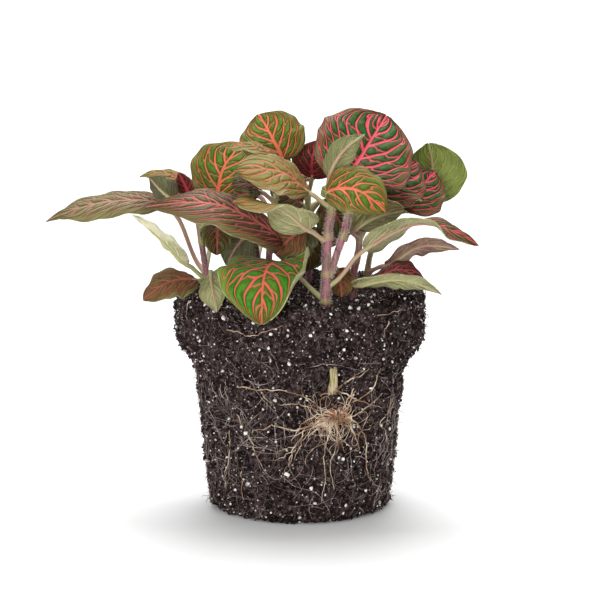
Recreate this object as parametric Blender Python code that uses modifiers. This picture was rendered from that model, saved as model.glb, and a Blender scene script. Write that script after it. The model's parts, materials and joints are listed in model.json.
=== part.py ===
"""Nerve plant lifted out of its nursery pot, standing on its bare root ball.

Metres, +Z up.  The origin is the centre of the flat foot of the root ball, and -Y is the front.
The ball is turned, the stems are tubes that stand in sockets in the soil, and each leaf is one
loft that runs from its round petiole into its flat blade.
"""

import math

import bmesh
import bpy
from mathutils import Quaternion, Vector

MM = 0.001

# Root ball: the cast of a round nursery pot, with the thick collar that sat under the pot's rim
BALL_HEIGHT = 76 * MM
RIM_RADIUS = 43 * MM
COLLAR_DEPTH = 18 * MM
COLLAR_STEP = 6.8 * MM
SHOULDER_DEPTH = 8 * MM
TAPER = 5 * MM
FOOT_ROUNDING = 3.5 * MM
SOIL_ROUNDING = 2.5 * MM
ROUNDING_STEPS = 4
BALL_SIDES = 56

# Clearance between touching pieces and at a leaf's joint, and how deep a stem stands in the soil
GAP = 0.3 * MM
JOINT_GAP = 0.5 * MM
SOCKET_DEPTH = 10 * MM
SOCKET_SIDES = 16

# Leaves: all blades share one thickness and one petiole
LEAF_THICKNESS = 0.9 * MM
PETIOLE_RADIUS = 0.85 * MM
TIP_HALF_WIDTH = 0.4 * MM
LEAF_SIDES = 12

# Roots on the face of the ball
ROOT_RADIUS = 0.4 * MM
ROOT_THINNING = 0.4
ROOT_SAMPLES = 4
STUB_RADIUS = 1.25 * MM
STUB_TURN = 16
STUB_SHOWN = 1.5 * MM
STUB_DEPTH = 6 * MM
KNOT_TURN = 20
KNOT_DROP = 12.5 * MM
KNOT_HALF_WIDTH = 4.8 * MM
KNOT_HALF_THICKNESS = 1.2 * MM

# The crown spreads in step with the pot that it fills; its points below are for a 43 mm rim
SPREAD = RIM_RADIUS / (43 * MM)

# Centre lines of the stems, in mm from the ball's axis and from the soil's surface, with the
# radius at the soil and at the top.  Each starts straight up out of its socket.
STEMS = {
    "stem_main": (1.9, 1.35, [(8.6, -33, 0), (8.8, -32.6, 10), (9.2, -32, 23), (11, -30.5, 35)]),
    "stem_left": (1.2, 1.0, [(-31.5, -18, 0), (-31.8, -18, 8), (-33, -18, 17), (-35, -16.5, 29)]),
    "stem_middle": (1.3, 1.0, [(-10.5, -8, 0), (-10.6, -8, 10), (-9.5, -9, 25), (-7, -11, 40)]),
    "stem_right": (1.4, 1.1, [(18, -15, 0), (18.3, -15, 8), (20, -15, 17), (19, -15, 28)]),
    "stem_right_back": (1.1, 0.9, [(23, 2, 0), (23.4, 2, 7), (25.5, 2.5, 16), (30, 4, 26)]),
    "stem_back_left": (1.2, 0.9, [(-14.5, 8, 0), (-14.6, 8.3, 8), (-16, 9.5, 17), (-18, 11, 27)]),
    "stem_back": (1.3, 1.0, [(3, 14, 0), (3, 14.2, 8), (2.5, 14, 20), (3, 12, 33)]),
}
# The main stem forks at its first node
FORK = (1.3, 1.1, [(9.2, -32.6, 8.6), (12.6, -31.8, 18), (15.4, -30.6, 26), (16.6, -29.5, 32.5)])
STEM_SAMPLES = 4

# One row for each leaf: name, stem, height of its joint on the stem; then the midrib, as the
# points where the blade starts, its middle and its tip; the blade's width; the way its upper
# side faces at the middle; how far the margins rise above the midrib, as a share of the half
# width; and the twist from base to tip in degrees.  Points are in mm, as for the stems.
LEAVES = [
    ("leaf_main_1", "stem_main", 2.5, (-6, -25, 13), (-11.5, -41, 12.5), (-12.6, -49.5, -3.5),
     32, (-0.18, -0.6, 0.8), -0.12, 0),
    ("leaf_main_2", "stem_main", 6.8, (21.5, -32, 19), (39, -29.5, 27.5), (60, -25.5, 19),
     24, (0, 0.02, 1), -0.15, 65),
    ("leaf_main_3", "stem_main", 22, (3, -36, 26), (-5.5, -39.5, 33.5), (-21.5, -43.5, 36.5),
     23, (0.3, 0.3, 0.9), -0.1, -70),
    ("leaf_main_4", "stem_main", 33, (3, -30.5, 38), (-6, -33, 45), (-21.5, -36, 45.5),
     20, (0.2, -0.4, 0.88), -0.12, 0),
    ("leaf_main_5", "stem_main", 34.5, (9, -34.5, 38), (15.5, -37.5, 40.5), (26, -39.5, 35),
     14, (0.1, -0.75, 0.65), 0, 0),
    ("leaf_main_6", "fork", 31.5, (15.8, -25, 40), (21.5, -14.5, 49), (29.5, 1, 59.5),
     37, (0.3, -0.66, 0.68), 0.06, 0),
    ("leaf_main_7", "stem_main", 34.8, (9.8, -28.5, 42.5), (13.5, -28.5, 50), (21.5, -26, 56.5),
     9, (0.3, 0.85, 0.3), 0.2, 0),
    ("leaf_main_8", "stem_main", 8.5, (12.6, -24.6, 8.6), (13.6, -25.8, 5.5), (14, -27, 1.6),
     7, (0.1, -0.9, 0.3), 0, 0),
    ("leaf_left_1", "stem_left", 9, (-45.5, -6, 29.5), (-67, -7, 31), (-86.5, -8, 24.5),
     20, (0, -0.28, 0.96), -0.05, 0),
    ("leaf_left_2", "stem_left", 7, (-38, -22.5, 12.5), (-47, -22.5, 21.5), (-56, -21, 28.5),
     17, (0.6, 0.35, 0.7), 0.1, 0),
    ("leaf_left_3", "stem_left", 4.2, (-35, -24.5, 7.2), (-43.5, -27.5, 7), (-52.5, -30, 1.2),
     18, (-0.2, -0.42, 0.88), -0.12, 0),
    ("leaf_left_4", "stem_left", 6, (-29.5, -26, 9.5), (-29, -33.5, 6.5), (-27.6, -38.3, -1.5),
     12, (0.35, 0.6, -0.2), 0, 0),
    ("leaf_left_5", "stem_left", 27, (-38.5, -9, 36.5), (-46, -6, 41), (-54.5, -5, 39.5),
     13, (0, -0.1, 1), -0.1, 0),
    ("leaf_left_6", "stem_left", 28, (-42, -18.5, 33.5), (-46.5, -19, 37), (-50.5, -18.5, 41),
     10, (0.3, 0.8, 0.5), 0.15, 0),
    ("leaf_left_7", "stem_left", 24, (-28.5, -16.5, 25), (-28, -20, 21.5), (-28, -21.5, 15),
     11, (0.1, -0.85, 0.5), 0, 0),
    ("leaf_left_8", "stem_left", 10, (-28.5, 1, 31), (-26.5, 6, 40.5), (-20, 12, 48.5),
     23, (-0.25, -0.8, 0.55), 0.05, 0),
    ("leaf_middle_1", "stem_middle", 18, (-13, -20, 24), (-29, -27.5, 33.5), (-51.5, -26, 32),
     24, (0, -0.4, 0.9), -0.08, 0),
    ("leaf_middle_2", "stem_middle", 21, (-16, -6, 20), (-21, -4, 15), (-25, -3, 8.5),
     17, (0.5, 0.7, -0.2), 0, 0),
    ("leaf_middle_3", "stem_middle", 26, (0, -14, 25), (-2.5, -15.5, 19), (-5, -16.5, 11.5),
     16, (0.3, 0.8, -0.3), 0, 0),
    ("leaf_middle_4", "stem_middle", 32, (-13.5, -15, 36), (-17.5, -16.5, 38.5), (-23, -17.5, 38),
     12, (0.15, -0.35, 0.9), 0, 0),
    ("leaf_middle_5", "stem_middle", 37, (-6.5, -18, 46), (-15, -18.5, 51.5), (-27, -18, 51.5),
     14, (0.1, -0.12, 1), -0.1, 0),
    ("leaf_middle_6", "stem_middle", 38.5, (-6, -6.5, 45), (-9.5, -3, 52.5), (-14, 4, 59.5),
     23, (-0.05, -0.85, 0.5), 0.05, 0),
    ("leaf_right_1", "stem_right", 2.8, (19, -27, 6), (33, -31.5, 9), (47.5, -28.5, 3),
     16, (-0.1, 0.45, 0.87), -0.1, 0),
    ("leaf_right_2", "stem_right", 4.5, (25.5, -16, 5.2), (33, -17.5, 7), (42, -18.5, 4),
     14, (0.05, -0.3, 0.95), -0.1, 0),
    ("leaf_right_3", "stem_right", 20, (17.5, -22, 23.5), (24, -23, 28), (35, -21, 30),
     18, (-0.2, 0.6, 0.75), 0, 0),
    ("leaf_right_4", "stem_right", 26, (25, -13.5, 32.5), (31, -8, 38.5), (40, 0, 43.5),
     25, (0.1, -0.75, 0.62), 0.04, 0),
    ("leaf_right_back_1", "stem_right_back", 5.5, (29.5, -3.5, 9), (40, -3.5, 15.5), (54.5, -2.5, 14),
     16, (-0.1, 0.5, 0.85), -0.1, 0),
    ("leaf_right_back_2", "stem_right_back", 21, (35, 0.5, 28), (40.5, 4, 33.5), (46.5, 9.5, 39),
     21, (0.25, -0.7, 0.65), 0.04, 0),
    ("leaf_right_back_3", "stem_right_back", 25, (44, 13, 29), (46, 15.5, 37.5), (44.5, 15.5, 48),
     23, (0.15, 0.9, 0.25), 0.05, 0),
    ("leaf_right_back_4", "stem_right_back", 17, (27, 14, 23), (36, 22, 26), (46, 31, 23),
     18, (0, -0.1, 1), -0.1, 0),
    ("leaf_back_left_1", "stem_back_left", 22, (-22, 19, 27), (-30, 29, 31), (-38, 40, 27),
     22, (0, 0.1, 1), -0.12, 0),
    ("leaf_back_left_2", "stem_back_left", 8, (-14, 21, 12), (-18, 32, 14.5), (-22, 44, 8.5),
     19, (0, 0.15, 1), -0.1, 0),
    ("leaf_back_left_3", "stem_back_left", 19, (-33, 6, 26), (-45, 12.5, 31), (-57, 20, 27.5),
     18, (0, -0.05, 1), -0.1, 0),
    ("leaf_back_1", "stem_back", 29, (-3, 23, 33), (-6, 35, 37), (-9, 48, 31.5),
     24, (0, 0.1, 1), -0.12, 0),
    ("leaf_back_2", "stem_back", 26, (11, 22, 28), (18, 33, 31.5), (25, 44, 26),
     21, (0.05, 0.15, 1), -0.12, 0),
    ("leaf_back_3", "stem_back", 7, (5, 24, 10), (7, 35, 13), (9, 47, 7),
     20, (0, 0.15, 1), -0.1, 0),
    ("leaf_back_4", "stem_back", 31.5, (4, 2, 38), (4, -2.5, 44), (5.5, -1, 51),
     15, (-0.2, -0.85, 0.35), 0, 0),
]
# Rings of a leaf's loft, in 24ths: -24 is the joint, 0 the start of the blade, 24 its tip
FINE = 24
RINGS = (-24, -12, 0, 1, 4, 8, 12, 16, 20, 23, 24)

# Thick roots on the ball's face: each leaves the knot's edge for its first point, and the points
# are (degrees round the ball, mm up) from the middle of the knot
ROOTS = [
    [(9, 8), (13, 11)],
    [(18, 6.5), (27, 5), (38, -2.5)],
    [(20, -6.5), (27, -12.5), (32, -18.5)],
    [(10, -13.5), (15, -22.5)],
    [(-3, -13.5), (-6, -22.5)],
    [(-15, -10.5), (-20, -16.5)],
    [(-23, 2.5), (-37, 0), (-52, -5)],
    [(-18, 8), (-31, 7.5)],
    [(-25, -5.5), (-41, -9.5), (-55, -19.5)],
]


# ---------------------------------------------------------------- scene and materials

for old in list(bpy.data.objects):
    bpy.data.objects.remove(old, do_unlink=True)


def new_collection(name):
    collection = bpy.data.collections.new(name)
    bpy.context.scene.collection.children.link(collection)
    return collection


PLANT = new_collection("nerve_plant")
CUTTERS = new_collection("cutters")


def new_material(name, colour, roughness):
    material = bpy.data.materials.new(name)
    material.use_nodes = True
    shader = material.node_tree.nodes["Principled BSDF"]
    shader.inputs["Base Color"].default_value = (*colour, 1)
    shader.inputs["Roughness"].default_value = roughness
    material.diffuse_color = (*colour, 1)
    return material


SOIL = new_material("peat", (0.035, 0.025, 0.02), 0.95)
STEM = new_material("stem", (0.33, 0.17, 0.19), 0.6)
ROOT = new_material("root", (0.62, 0.47, 0.29), 0.75)
GREEN_LEAF = new_material("green_leaf", (0.1, 0.25, 0.04), 0.5)
BRONZE_LEAF = new_material("bronze_leaf", (0.33, 0.16, 0.1), 0.5)
PALE_LEAF = new_material("pale_leaf", (0.36, 0.42, 0.2), 0.6)

# Leaves that are not plain green: old, sun-bronzed ones, and ones that show their underside
BRONZE_NAMES = ("leaf_main_4", "leaf_left_1", "leaf_left_3", "leaf_left_5", "leaf_middle_1",
                "leaf_right_back_1", "leaf_back_4", "leaf_right_2")
PALE_NAMES = ("leaf_main_2", "leaf_main_7", "leaf_left_2", "leaf_left_4", "leaf_right_1",
              "leaf_right_3", "leaf_right_back_3")


def finish_object(obj, material, smooth_angle=50):
    """Put a modelled piece in the plant, with its one material and smooth shading."""
    obj.data.materials.clear()
    obj.data.materials.append(material)
    if obj.type == "MESH":
        obj.data.shade_smooth()
        obj.data.set_sharp_from_angle(angle=math.radians(smooth_angle))
    for collection in list(obj.users_collection):
        collection.objects.unlink(obj)
    PLANT.objects.link(obj)


# ---------------------------------------------------------------- smooth lines

def slopes_through(knots, first_slope):
    """Unit-speed slopes for a smooth line through the knots, leaving along first_slope."""
    chords = [(b - a).length for a, b in zip(knots, knots[1:])]
    runs = [(b - a) / c for a, b, c in zip(knots, knots[1:], chords)]
    slopes = [first_slope]
    for i in range(1, len(knots) - 1):
        before, after = chords[i - 1], chords[i]
        slopes.append((runs[i - 1] * after + runs[i] * before) / (before + after))
    slopes.append(runs[-1] * 1.5 - slopes[-1] * 0.5)
    return chords, slopes


def between(knots, chords, slopes, i, share):
    """Point on the smooth line, a share of the way from knot i to knot i + 1."""
    square, cube = share * share, share ** 3
    return (knots[i] * (2 * cube - 3 * square + 1)
            + slopes[i] * chords[i] * (cube - 2 * square + share)
            + knots[i + 1] * (3 * square - 2 * cube)
            + slopes[i + 1] * chords[i] * (cube - square))


def smooth_line(knots, first_slope, samples):
    chords, slopes = slopes_through(knots, first_slope)
    line = [knots[0]]
    for i in range(len(knots) - 1):
        for step in range(1, samples + 1):
            line.append(between(knots, chords, slopes, i, step / samples))
    return line


def crown_point(point):
    """A point of the crown: given in mm from the ball's axis and the soil's surface."""
    x, y, z = point
    return Vector((x * MM * SPREAD, y * MM * SPREAD, BALL_HEIGHT + z * MM))


def tube(name, line, radii, sides_resolution=2):
    """A round rod along a line of points, with a radius at each point and filled caps."""
    curve = bpy.data.curves.new(name, "CURVE")
    curve.dimensions = "3D"
    curve.bevel_depth = 1.0
    curve.bevel_resolution = sides_resolution
    curve.use_fill_caps = True
    spline = curve.splines.new("POLY")
    spline.points.add(len(line) - 1)
    for spline_point, position, radius in zip(spline.points, line, radii):
        spline_point.co = (*position, 1)
        spline_point.radius = radius
    obj = bpy.data.objects.new(name, curve)
    bpy.context.scene.collection.objects.link(obj)
    return obj


def as_mesh(obj):
    """Swap a curve object for a closed mesh of the same shape."""
    name = obj.name
    bpy.context.view_layer.update()
    evaluated = obj.evaluated_get(bpy.context.evaluated_depsgraph_get())
    mesh = bpy.data.meshes.new_from_object(evaluated)
    placing = obj.matrix_world.copy()
    bpy.data.objects.remove(obj, do_unlink=True)
    welded = bmesh.new()
    welded.from_mesh(mesh)
    bmesh.ops.remove_doubles(welded, verts=welded.verts, dist=0.00001)
    welded.to_mesh(mesh)
    welded.free()
    solid = bpy.data.objects.new(name, mesh)
    solid.matrix_world = placing
    bpy.context.scene.collection.objects.link(solid)
    return solid


def make_cutter(obj):
    obj.hide_render = True
    obj.display_type = "WIRE"
    for collection in list(obj.users_collection):
        collection.objects.unlink(obj)
    CUTTERS.objects.link(obj)


def combine(obj, tool, operation):
    make_cutter(tool)
    boolean = obj.modifiers.new(tool.name, "BOOLEAN")
    boolean.operation = operation
    boolean.solver = "EXACT"
    boolean.object = tool


# ---------------------------------------------------------------- root ball

COLLAR_FOOT = BALL_HEIGHT - COLLAR_DEPTH
SHOULDER_FOOT = COLLAR_FOOT - SHOULDER_DEPTH
WAIST_RADIUS = RIM_RADIUS - COLLAR_STEP
FOOT_RADIUS = WAIST_RADIUS - TAPER
UP = Vector((0, 0, 1))


def ball_radius(height):
    """Radius of the ball's side at a height, from its rounded foot to the top of its collar."""
    if height >= COLLAR_FOOT:
        return RIM_RADIUS
    if height >= SHOULDER_FOOT:
        share = (height - SHOULDER_FOOT) / SHOULDER_DEPTH
        return WAIST_RADIUS + (RIM_RADIUS - WAIST_RADIUS) * share
    share = (height - FOOT_ROUNDING) / (SHOULDER_FOOT - FOOT_ROUNDING)
    return FOOT_RADIUS + (WAIST_RADIUS - FOOT_RADIUS) * share


def ball_point(turn, height, lift):
    """A point a lift above the ball's side, turned in degrees from the front towards +X."""
    radius = ball_radius(height) + lift
    angle = math.radians(turn)
    return Vector((radius * math.sin(angle), -radius * math.cos(angle), height))


def quarter_round(radius, centre_height, size, start):
    """Points of a quarter circle at an outer corner, from the start angle clockwise."""
    points = []
    for step in range(ROUNDING_STEPS + 1):
        angle = math.radians(start - 90 * step / ROUNDING_STEPS)
        points.append((radius - size + size * math.cos(angle),
                       centre_height + size * math.sin(angle)))
    return points


def make_root_ball():
    profile = [(0, BALL_HEIGHT)]
    profile += quarter_round(RIM_RADIUS, BALL_HEIGHT - SOIL_ROUNDING, SOIL_ROUNDING, 90)
    profile += [(RIM_RADIUS, COLLAR_FOOT), (WAIST_RADIUS, SHOULDER_FOOT)]
    profile += quarter_round(FOOT_RADIUS, FOOT_ROUNDING, FOOT_ROUNDING, 0)
    profile.append((0, 0))
    mesh = bpy.data.meshes.new("root_ball")
    mesh.from_pydata([(x, 0, z) for x, z in profile],
                     [(i, i + 1) for i in range(len(profile) - 1)], [])
    ball = bpy.data.objects.new("root_ball", mesh)
    bpy.context.scene.collection.objects.link(ball)
    turn = ball.modifiers.new("turn", "SCREW")
    turn.axis = "Z"
    turn.steps = turn.render_steps = BALL_SIDES
    turn.use_merge_vertices = True
    turn.merge_threshold = 0.00001
    return ball


def socket_cutter(name, axis_x, axis_y, low, high, radius):
    """An upright hole for a piece of the given radius, with the clearance all round."""
    bpy.ops.mesh.primitive_cylinder_add(
        vertices=SOCKET_SIDES, radius=(radius + GAP) / math.cos(math.pi / SOCKET_SIDES),
        depth=high - low, location=(axis_x, axis_y, (low + high) / 2))
    cutter = bpy.context.active_object
    cutter.name = name
    return cutter


BALL = make_root_ball()
for stem_name, (foot_radius, _, points) in STEMS.items():
    foot = crown_point(points[0])
    combine(BALL, socket_cutter("socket_" + stem_name, foot.x, foot.y,
                                BALL_HEIGHT - SOCKET_DEPTH - GAP, BALL_HEIGHT + SOCKET_DEPTH,
                                foot_radius * MM), "DIFFERENCE")

# The broken twig stands upright in the underside of the collar
STUB_FOOT = SHOULDER_FOOT - STUB_SHOWN
STUB_TOP = SHOULDER_FOOT + STUB_DEPTH
STUB_AXIS = ball_point(STUB_TURN, STUB_FOOT, STUB_RADIUS + 2 * GAP)
combine(BALL, socket_cutter("socket_stub", STUB_AXIS.x, STUB_AXIS.y,
                            STUB_FOOT - GAP, STUB_TOP + GAP, STUB_RADIUS), "DIFFERENCE")
finish_object(BALL, SOIL, 30)


# ---------------------------------------------------------------- stems

def stem_line(points):
    """Centre line from the soil's surface to the top, leaving straight up."""
    return smooth_line([crown_point(p) for p in points], UP, STEM_SAMPLES)


def stem_radii(line, foot_radius, top_radius):
    count = len(line) - 1
    return [(foot_radius + (top_radius - foot_radius) * i / count) * MM
            for i in range(count + 1)]


def make_stem(name, foot_radius, top_radius, points):
    line = stem_line(points)
    radii = stem_radii(line, foot_radius, top_radius)
    buried = [line[0] - UP * SOCKET_DEPTH]
    return tube(name, buried + line, radii[:1] + radii), (line, radii)


STEM_LINES = {}
for stem_name, (foot_radius, top_radius, points) in STEMS.items():
    stem, STEM_LINES[stem_name] = make_stem(stem_name, foot_radius, top_radius, points)
    if stem_name == "stem_main":
        stem = as_mesh(stem)
        fork_line = smooth_line([crown_point(p) for p in FORK[2]], Vector((0.5, 0, 0.85)),
                                STEM_SAMPLES)
        fork_radii = stem_radii(fork_line, FORK[0], FORK[1])
        STEM_LINES["fork"] = (fork_line, fork_radii)
        combine(stem, as_mesh(tube("fork", fork_line, fork_radii)), "UNION")
    finish_object(stem, STEM)


def stem_at(stem_name, height):
    """The stem's centre and its half width, measured level, at a height above the soil."""
    line, radii = STEM_LINES[stem_name]
    level = BALL_HEIGHT + height * MM
    for low, high, radius in zip(line, line[1:], radii):
        if high.z >= level:
            upright = (high - low).normalized().z
            return low.lerp(high, (level - low.z) / (high.z - low.z)), radius / upright
    raise ValueError(stem_name + " is shorter than " + str(height) + " mm")


# ---------------------------------------------------------------- leaves

def blade_outline(share, slimness):
    """Half width along an ovate blade, as a share of its widest, from base 0 to tip 1.

    A blade as wide as it is long ends blunt, and one twice as long ends in a point.
    """
    pointed = min(max(slimness - 1, 0), 1)
    return math.sin(math.pi * share ** 0.85) ** (0.52 + (0.08 + 0.45 * pointed) * share)


def leaf_stations(joint, leaving, base, middle, tip):
    """Fine stations from -1 at the joint, through 0 at the blade's base, to 1 at the tip."""
    knots = [joint, base, middle, tip]
    chords, slopes = slopes_through(knots, leaving)
    turn_share = chords[1] / (chords[1] + chords[2])
    stations = []
    for step in range(-FINE, FINE + 1):
        share = step / FINE
        if share <= 0:
            stations.append(between(knots, chords, slopes, 0, share + 1))
        elif share <= turn_share:
            stations.append(between(knots, chords, slopes, 1, share / turn_share))
        else:
            rest = (share - turn_share) / (1 - turn_share)
            stations.append(between(knots, chords, slopes, 2, min(rest, 1)))
    return stations


def leaf_frames(stations, facing, twist):
    """Tangent, side and upward direction at each station, carried out from mid blade."""
    last = len(stations) - 1
    tangents = [(stations[min(i + 1, last)] - stations[max(i - 1, 0)]).normalized()
                for i in range(last + 1)]
    middle = FINE + FINE // 2
    normals = {}
    for order in (range(middle, last + 1), range(middle, -1, -1)):
        normal = Vector(facing)
        for i in order:
            normal = (normal - tangents[i] * normal.dot(tangents[i])).normalized()
            normals[i] = normal
    frames = []
    for i, tangent in enumerate(tangents):
        share = max(0, (i - FINE) / FINE)
        turned = Quaternion(tangent, math.radians(twist) * (share - 0.5)) @ normals[i]
        frames.append((tangent, turned.cross(tangent), turned))
    return frames


def leaf_ring(centre, side, normal, half_width, half_thickness, rise):
    ring = []
    for k in range(LEAF_SIDES):
        angle = 2 * math.pi * k / LEAF_SIDES
        across, up = math.cos(angle), math.sin(angle)
        ring.append(centre + side * (half_width * across)
                    + normal * (half_thickness * up + rise * half_width * across * across))
    return ring


def loft(name, rings):
    """Close a row of like rings; both faces of a blade are split along the same diagonals."""
    shape = bmesh.new()
    rows = [[shape.verts.new(point) for point in ring] for ring in rings]
    half = LEAF_SIDES // 2
    for low, high in zip(rows, rows[1:]):
        for k in range(LEAF_SIDES):
            n = (k + 1) % LEAF_SIDES
            if k < half:
                shape.faces.new((low[k], low[n], high[n]))
                shape.faces.new((low[k], high[n], high[k]))
            else:
                shape.faces.new((low[k], low[n], high[k]))
                shape.faces.new((low[n], high[n], high[k]))
    shape.faces.new(reversed(rows[0]))
    shape.faces.new(rows[-1])
    bmesh.ops.recalc_face_normals(shape, faces=shape.faces)
    mesh = bpy.data.meshes.new(name)
    shape.to_mesh(mesh)
    shape.free()
    obj = bpy.data.objects.new(name, mesh)
    bpy.context.scene.collection.objects.link(obj)
    return obj


def make_leaf(name, stem_name, height, base, middle, tip, width, facing, rise, twist):
    base, middle, tip = crown_point(base), crown_point(middle), crown_point(tip)
    centre, stem_radius = stem_at(stem_name, height)
    outwards = Vector((base.x - centre.x, base.y - centre.y, 0)).normalized()
    leaving = (outwards + UP * 0.6).normalized()
    joint = centre + outwards * (stem_radius + JOINT_GAP + PETIOLE_RADIUS * leaving.z)
    stations = leaf_stations(joint, leaving, base, middle, tip)
    frames = leaf_frames(stations, facing, twist)
    blade_half = width * MM * SPREAD / 2
    slimness = ((middle - base).length + (tip - middle).length) / (2 * blade_half)
    rings = []
    for step in RINGS:
        _, side, normal = frames[step + FINE]
        share = step / FINE
        if share <= 0:
            half_width = half_thickness = PETIOLE_RADIUS
            lift = 0
        else:
            outline = blade_outline(min(share, 0.999), slimness)
            half_width = max(blade_half * outline, TIP_HALF_WIDTH)
            half_thickness = LEAF_THICKNESS / 2
            lift = rise
        rings.append(leaf_ring(stations[step + FINE], side, normal,
                               half_width, half_thickness, lift))
    return loft(name, rings)


for row in LEAVES:
    leaf_name = row[0]
    leaf_material = GREEN_LEAF
    if leaf_name in BRONZE_NAMES:
        leaf_material = BRONZE_LEAF
    elif leaf_name in PALE_NAMES:
        leaf_material = PALE_LEAF
    finish_object(make_leaf(*row), leaf_material, 60)


# ---------------------------------------------------------------- roots

finish_object(tube("root_stub", [Vector((STUB_AXIS.x, STUB_AXIS.y, z))
                                 for z in (STUB_FOOT, SHOULDER_FOOT, STUB_TOP)],
                   [STUB_RADIUS * 0.9, STUB_RADIUS, STUB_RADIUS]), ROOT)


KNOT_HEIGHT = SHOULDER_FOOT - KNOT_DROP
KNOT_REACH = KNOT_HALF_WIDTH + ROOT_RADIUS + GAP
DEGREE_LENGTH = math.radians(1) * ball_radius(KNOT_HEIGHT)


def make_root(name, route):
    """A root that lies on the ball's side, from the knot's edge through its points."""
    points = [Vector((turn * DEGREE_LENGTH, rise, 0)) for turn, rise in route]
    points.insert(0, points[0].normalized() * KNOT_REACH)
    path = smooth_line(points, points[0].normalized(), ROOT_SAMPLES)
    line = [ball_point(KNOT_TURN + p.x / DEGREE_LENGTH, KNOT_HEIGHT + p.y, ROOT_RADIUS + GAP)
            for p in path]
    count = len(line) - 1
    radii = [ROOT_RADIUS * (1 - ROOT_THINNING * i / count) for i in range(count + 1)]
    return tube(name, line, radii, 1)


# The first root hangs from the twig, and the others spread from the knot
TWIG_ROUTE = [(STUB_TURN - KNOT_TURN, STUB_FOOT - 2 * GAP - ROOT_RADIUS - KNOT_HEIGHT)]
SPREAD_ROUTES = [[(turn, rise * MM) for turn, rise in route] for route in ROOTS]
for number, route in enumerate([TWIG_ROUTE] + SPREAD_ROUTES, 1):
    finish_object(make_root("root_" + str(number), route), ROOT)


def make_knot():
    """The dense knot of roots below the broken twig, flattened against the ball."""
    bpy.ops.mesh.primitive_uv_sphere_add(segments=16, ring_count=8, radius=1)
    knot = bpy.context.active_object
    knot.name = "root_knot"
    for vertex in knot.data.vertices:
        vertex.co = Vector((vertex.co.x * KNOT_HALF_WIDTH, vertex.co.y * KNOT_HALF_THICKNESS,
                            vertex.co.z * KNOT_HALF_WIDTH))
    knot.location = ball_point(KNOT_TURN, KNOT_HEIGHT, KNOT_HALF_THICKNESS + 2 * GAP)
    knot.rotation_euler = (0, 0, math.radians(KNOT_TURN))
    return knot


finish_object(make_knot(), ROOT)
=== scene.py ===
"""Nerve plant lifted out of its nursery pot: the finished look of every piece.

Metres, +Z up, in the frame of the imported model.  The sections follow the plant from its root
ball upwards, and each holds its own sizes, colours, mesh and material.
"""

import functools
import json
import math

import bpy
import numpy as np
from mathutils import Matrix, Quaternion, Vector, noise

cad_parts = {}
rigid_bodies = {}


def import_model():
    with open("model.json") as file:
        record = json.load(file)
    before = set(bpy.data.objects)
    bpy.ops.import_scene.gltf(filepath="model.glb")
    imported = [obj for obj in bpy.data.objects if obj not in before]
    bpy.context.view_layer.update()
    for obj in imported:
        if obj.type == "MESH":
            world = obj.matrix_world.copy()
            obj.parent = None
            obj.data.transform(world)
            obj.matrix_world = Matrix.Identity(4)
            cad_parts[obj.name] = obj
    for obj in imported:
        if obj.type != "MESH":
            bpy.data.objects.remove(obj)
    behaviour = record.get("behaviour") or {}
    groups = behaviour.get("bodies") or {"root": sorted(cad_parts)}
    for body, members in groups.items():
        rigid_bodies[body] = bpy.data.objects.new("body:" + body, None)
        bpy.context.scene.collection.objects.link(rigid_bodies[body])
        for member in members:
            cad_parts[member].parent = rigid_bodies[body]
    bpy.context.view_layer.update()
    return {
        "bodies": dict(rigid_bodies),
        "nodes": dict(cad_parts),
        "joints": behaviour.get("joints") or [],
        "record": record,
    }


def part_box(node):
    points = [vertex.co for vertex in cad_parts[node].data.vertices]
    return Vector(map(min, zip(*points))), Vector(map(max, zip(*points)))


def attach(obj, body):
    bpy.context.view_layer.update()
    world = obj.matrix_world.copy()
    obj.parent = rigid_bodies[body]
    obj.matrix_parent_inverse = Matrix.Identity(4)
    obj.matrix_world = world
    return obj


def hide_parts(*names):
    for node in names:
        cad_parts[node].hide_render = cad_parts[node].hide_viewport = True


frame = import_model()
bpy.ops.object.select_all(action="DESELECT")


# ---------------------------------------------------------------- root ball
# The cast of a round nursery pot: dark peat held together by roots, with the thick collar that
# sat under the pot's rim.  Its skin is lumpy, crumbly and torn where the pot was pulled off.

MM = 0.001
ball_low, ball_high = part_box("root_ball")
SOIL = ball_high.z
RIM_RADIUS = (ball_high.x - ball_low.x) / 2
COLLAR_FOOT = SOIL - 18 * MM
COLLAR_TAPER = 1.6 * MM
SHOULDER_FOOT = COLLAR_FOOT - 8 * MM
WAIST_RADIUS = RIM_RADIUS - 6.8 * MM
FOOT_RADIUS = WAIST_RADIUS - 5 * MM
RIM_ROUNDING = 2.5 * MM
FOOT_ROUNDING = 3.5 * MM
SOIL_SINK = 0.6 * MM
SOIL_PILE = 1.8 * MM
BALL_SIDES = 400
BALL_RINGS = 210


def ball_profile(steps=5):
    """Radius and height down the ball's outside, from the middle of the soil to the foot's."""
    turns = [math.pi / 2 * step / steps for step in range(steps + 1)]
    line = [(0, SOIL - SOIL_SINK), (RIM_RADIUS * 0.6, SOIL - SOIL_SINK)]
    line += [(RIM_RADIUS - RIM_ROUNDING * (1 - math.cos(turn)),
              SOIL - RIM_ROUNDING * (1 - math.sin(turn))) for turn in reversed(turns)]
    line += [(RIM_RADIUS - 0.2 * MM, COLLAR_FOOT + 2 * MM),
             (RIM_RADIUS - COLLAR_TAPER, COLLAR_FOOT), (WAIST_RADIUS - 0.3 * MM, SHOULDER_FOOT)]
    line += [(FOOT_RADIUS - FOOT_ROUNDING * (1 - math.cos(turn)),
              FOOT_ROUNDING * (1 - math.sin(turn))) for turn in turns]
    return np.array(line + [(0, 0)])


def mesh_points(obj):
    """The places of a mesh's points, one row each."""
    points = np.empty(len(obj.data.vertices) * 3)
    obj.data.vertices.foreach_get("co", points)
    return points.reshape(-1, 3)


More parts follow.
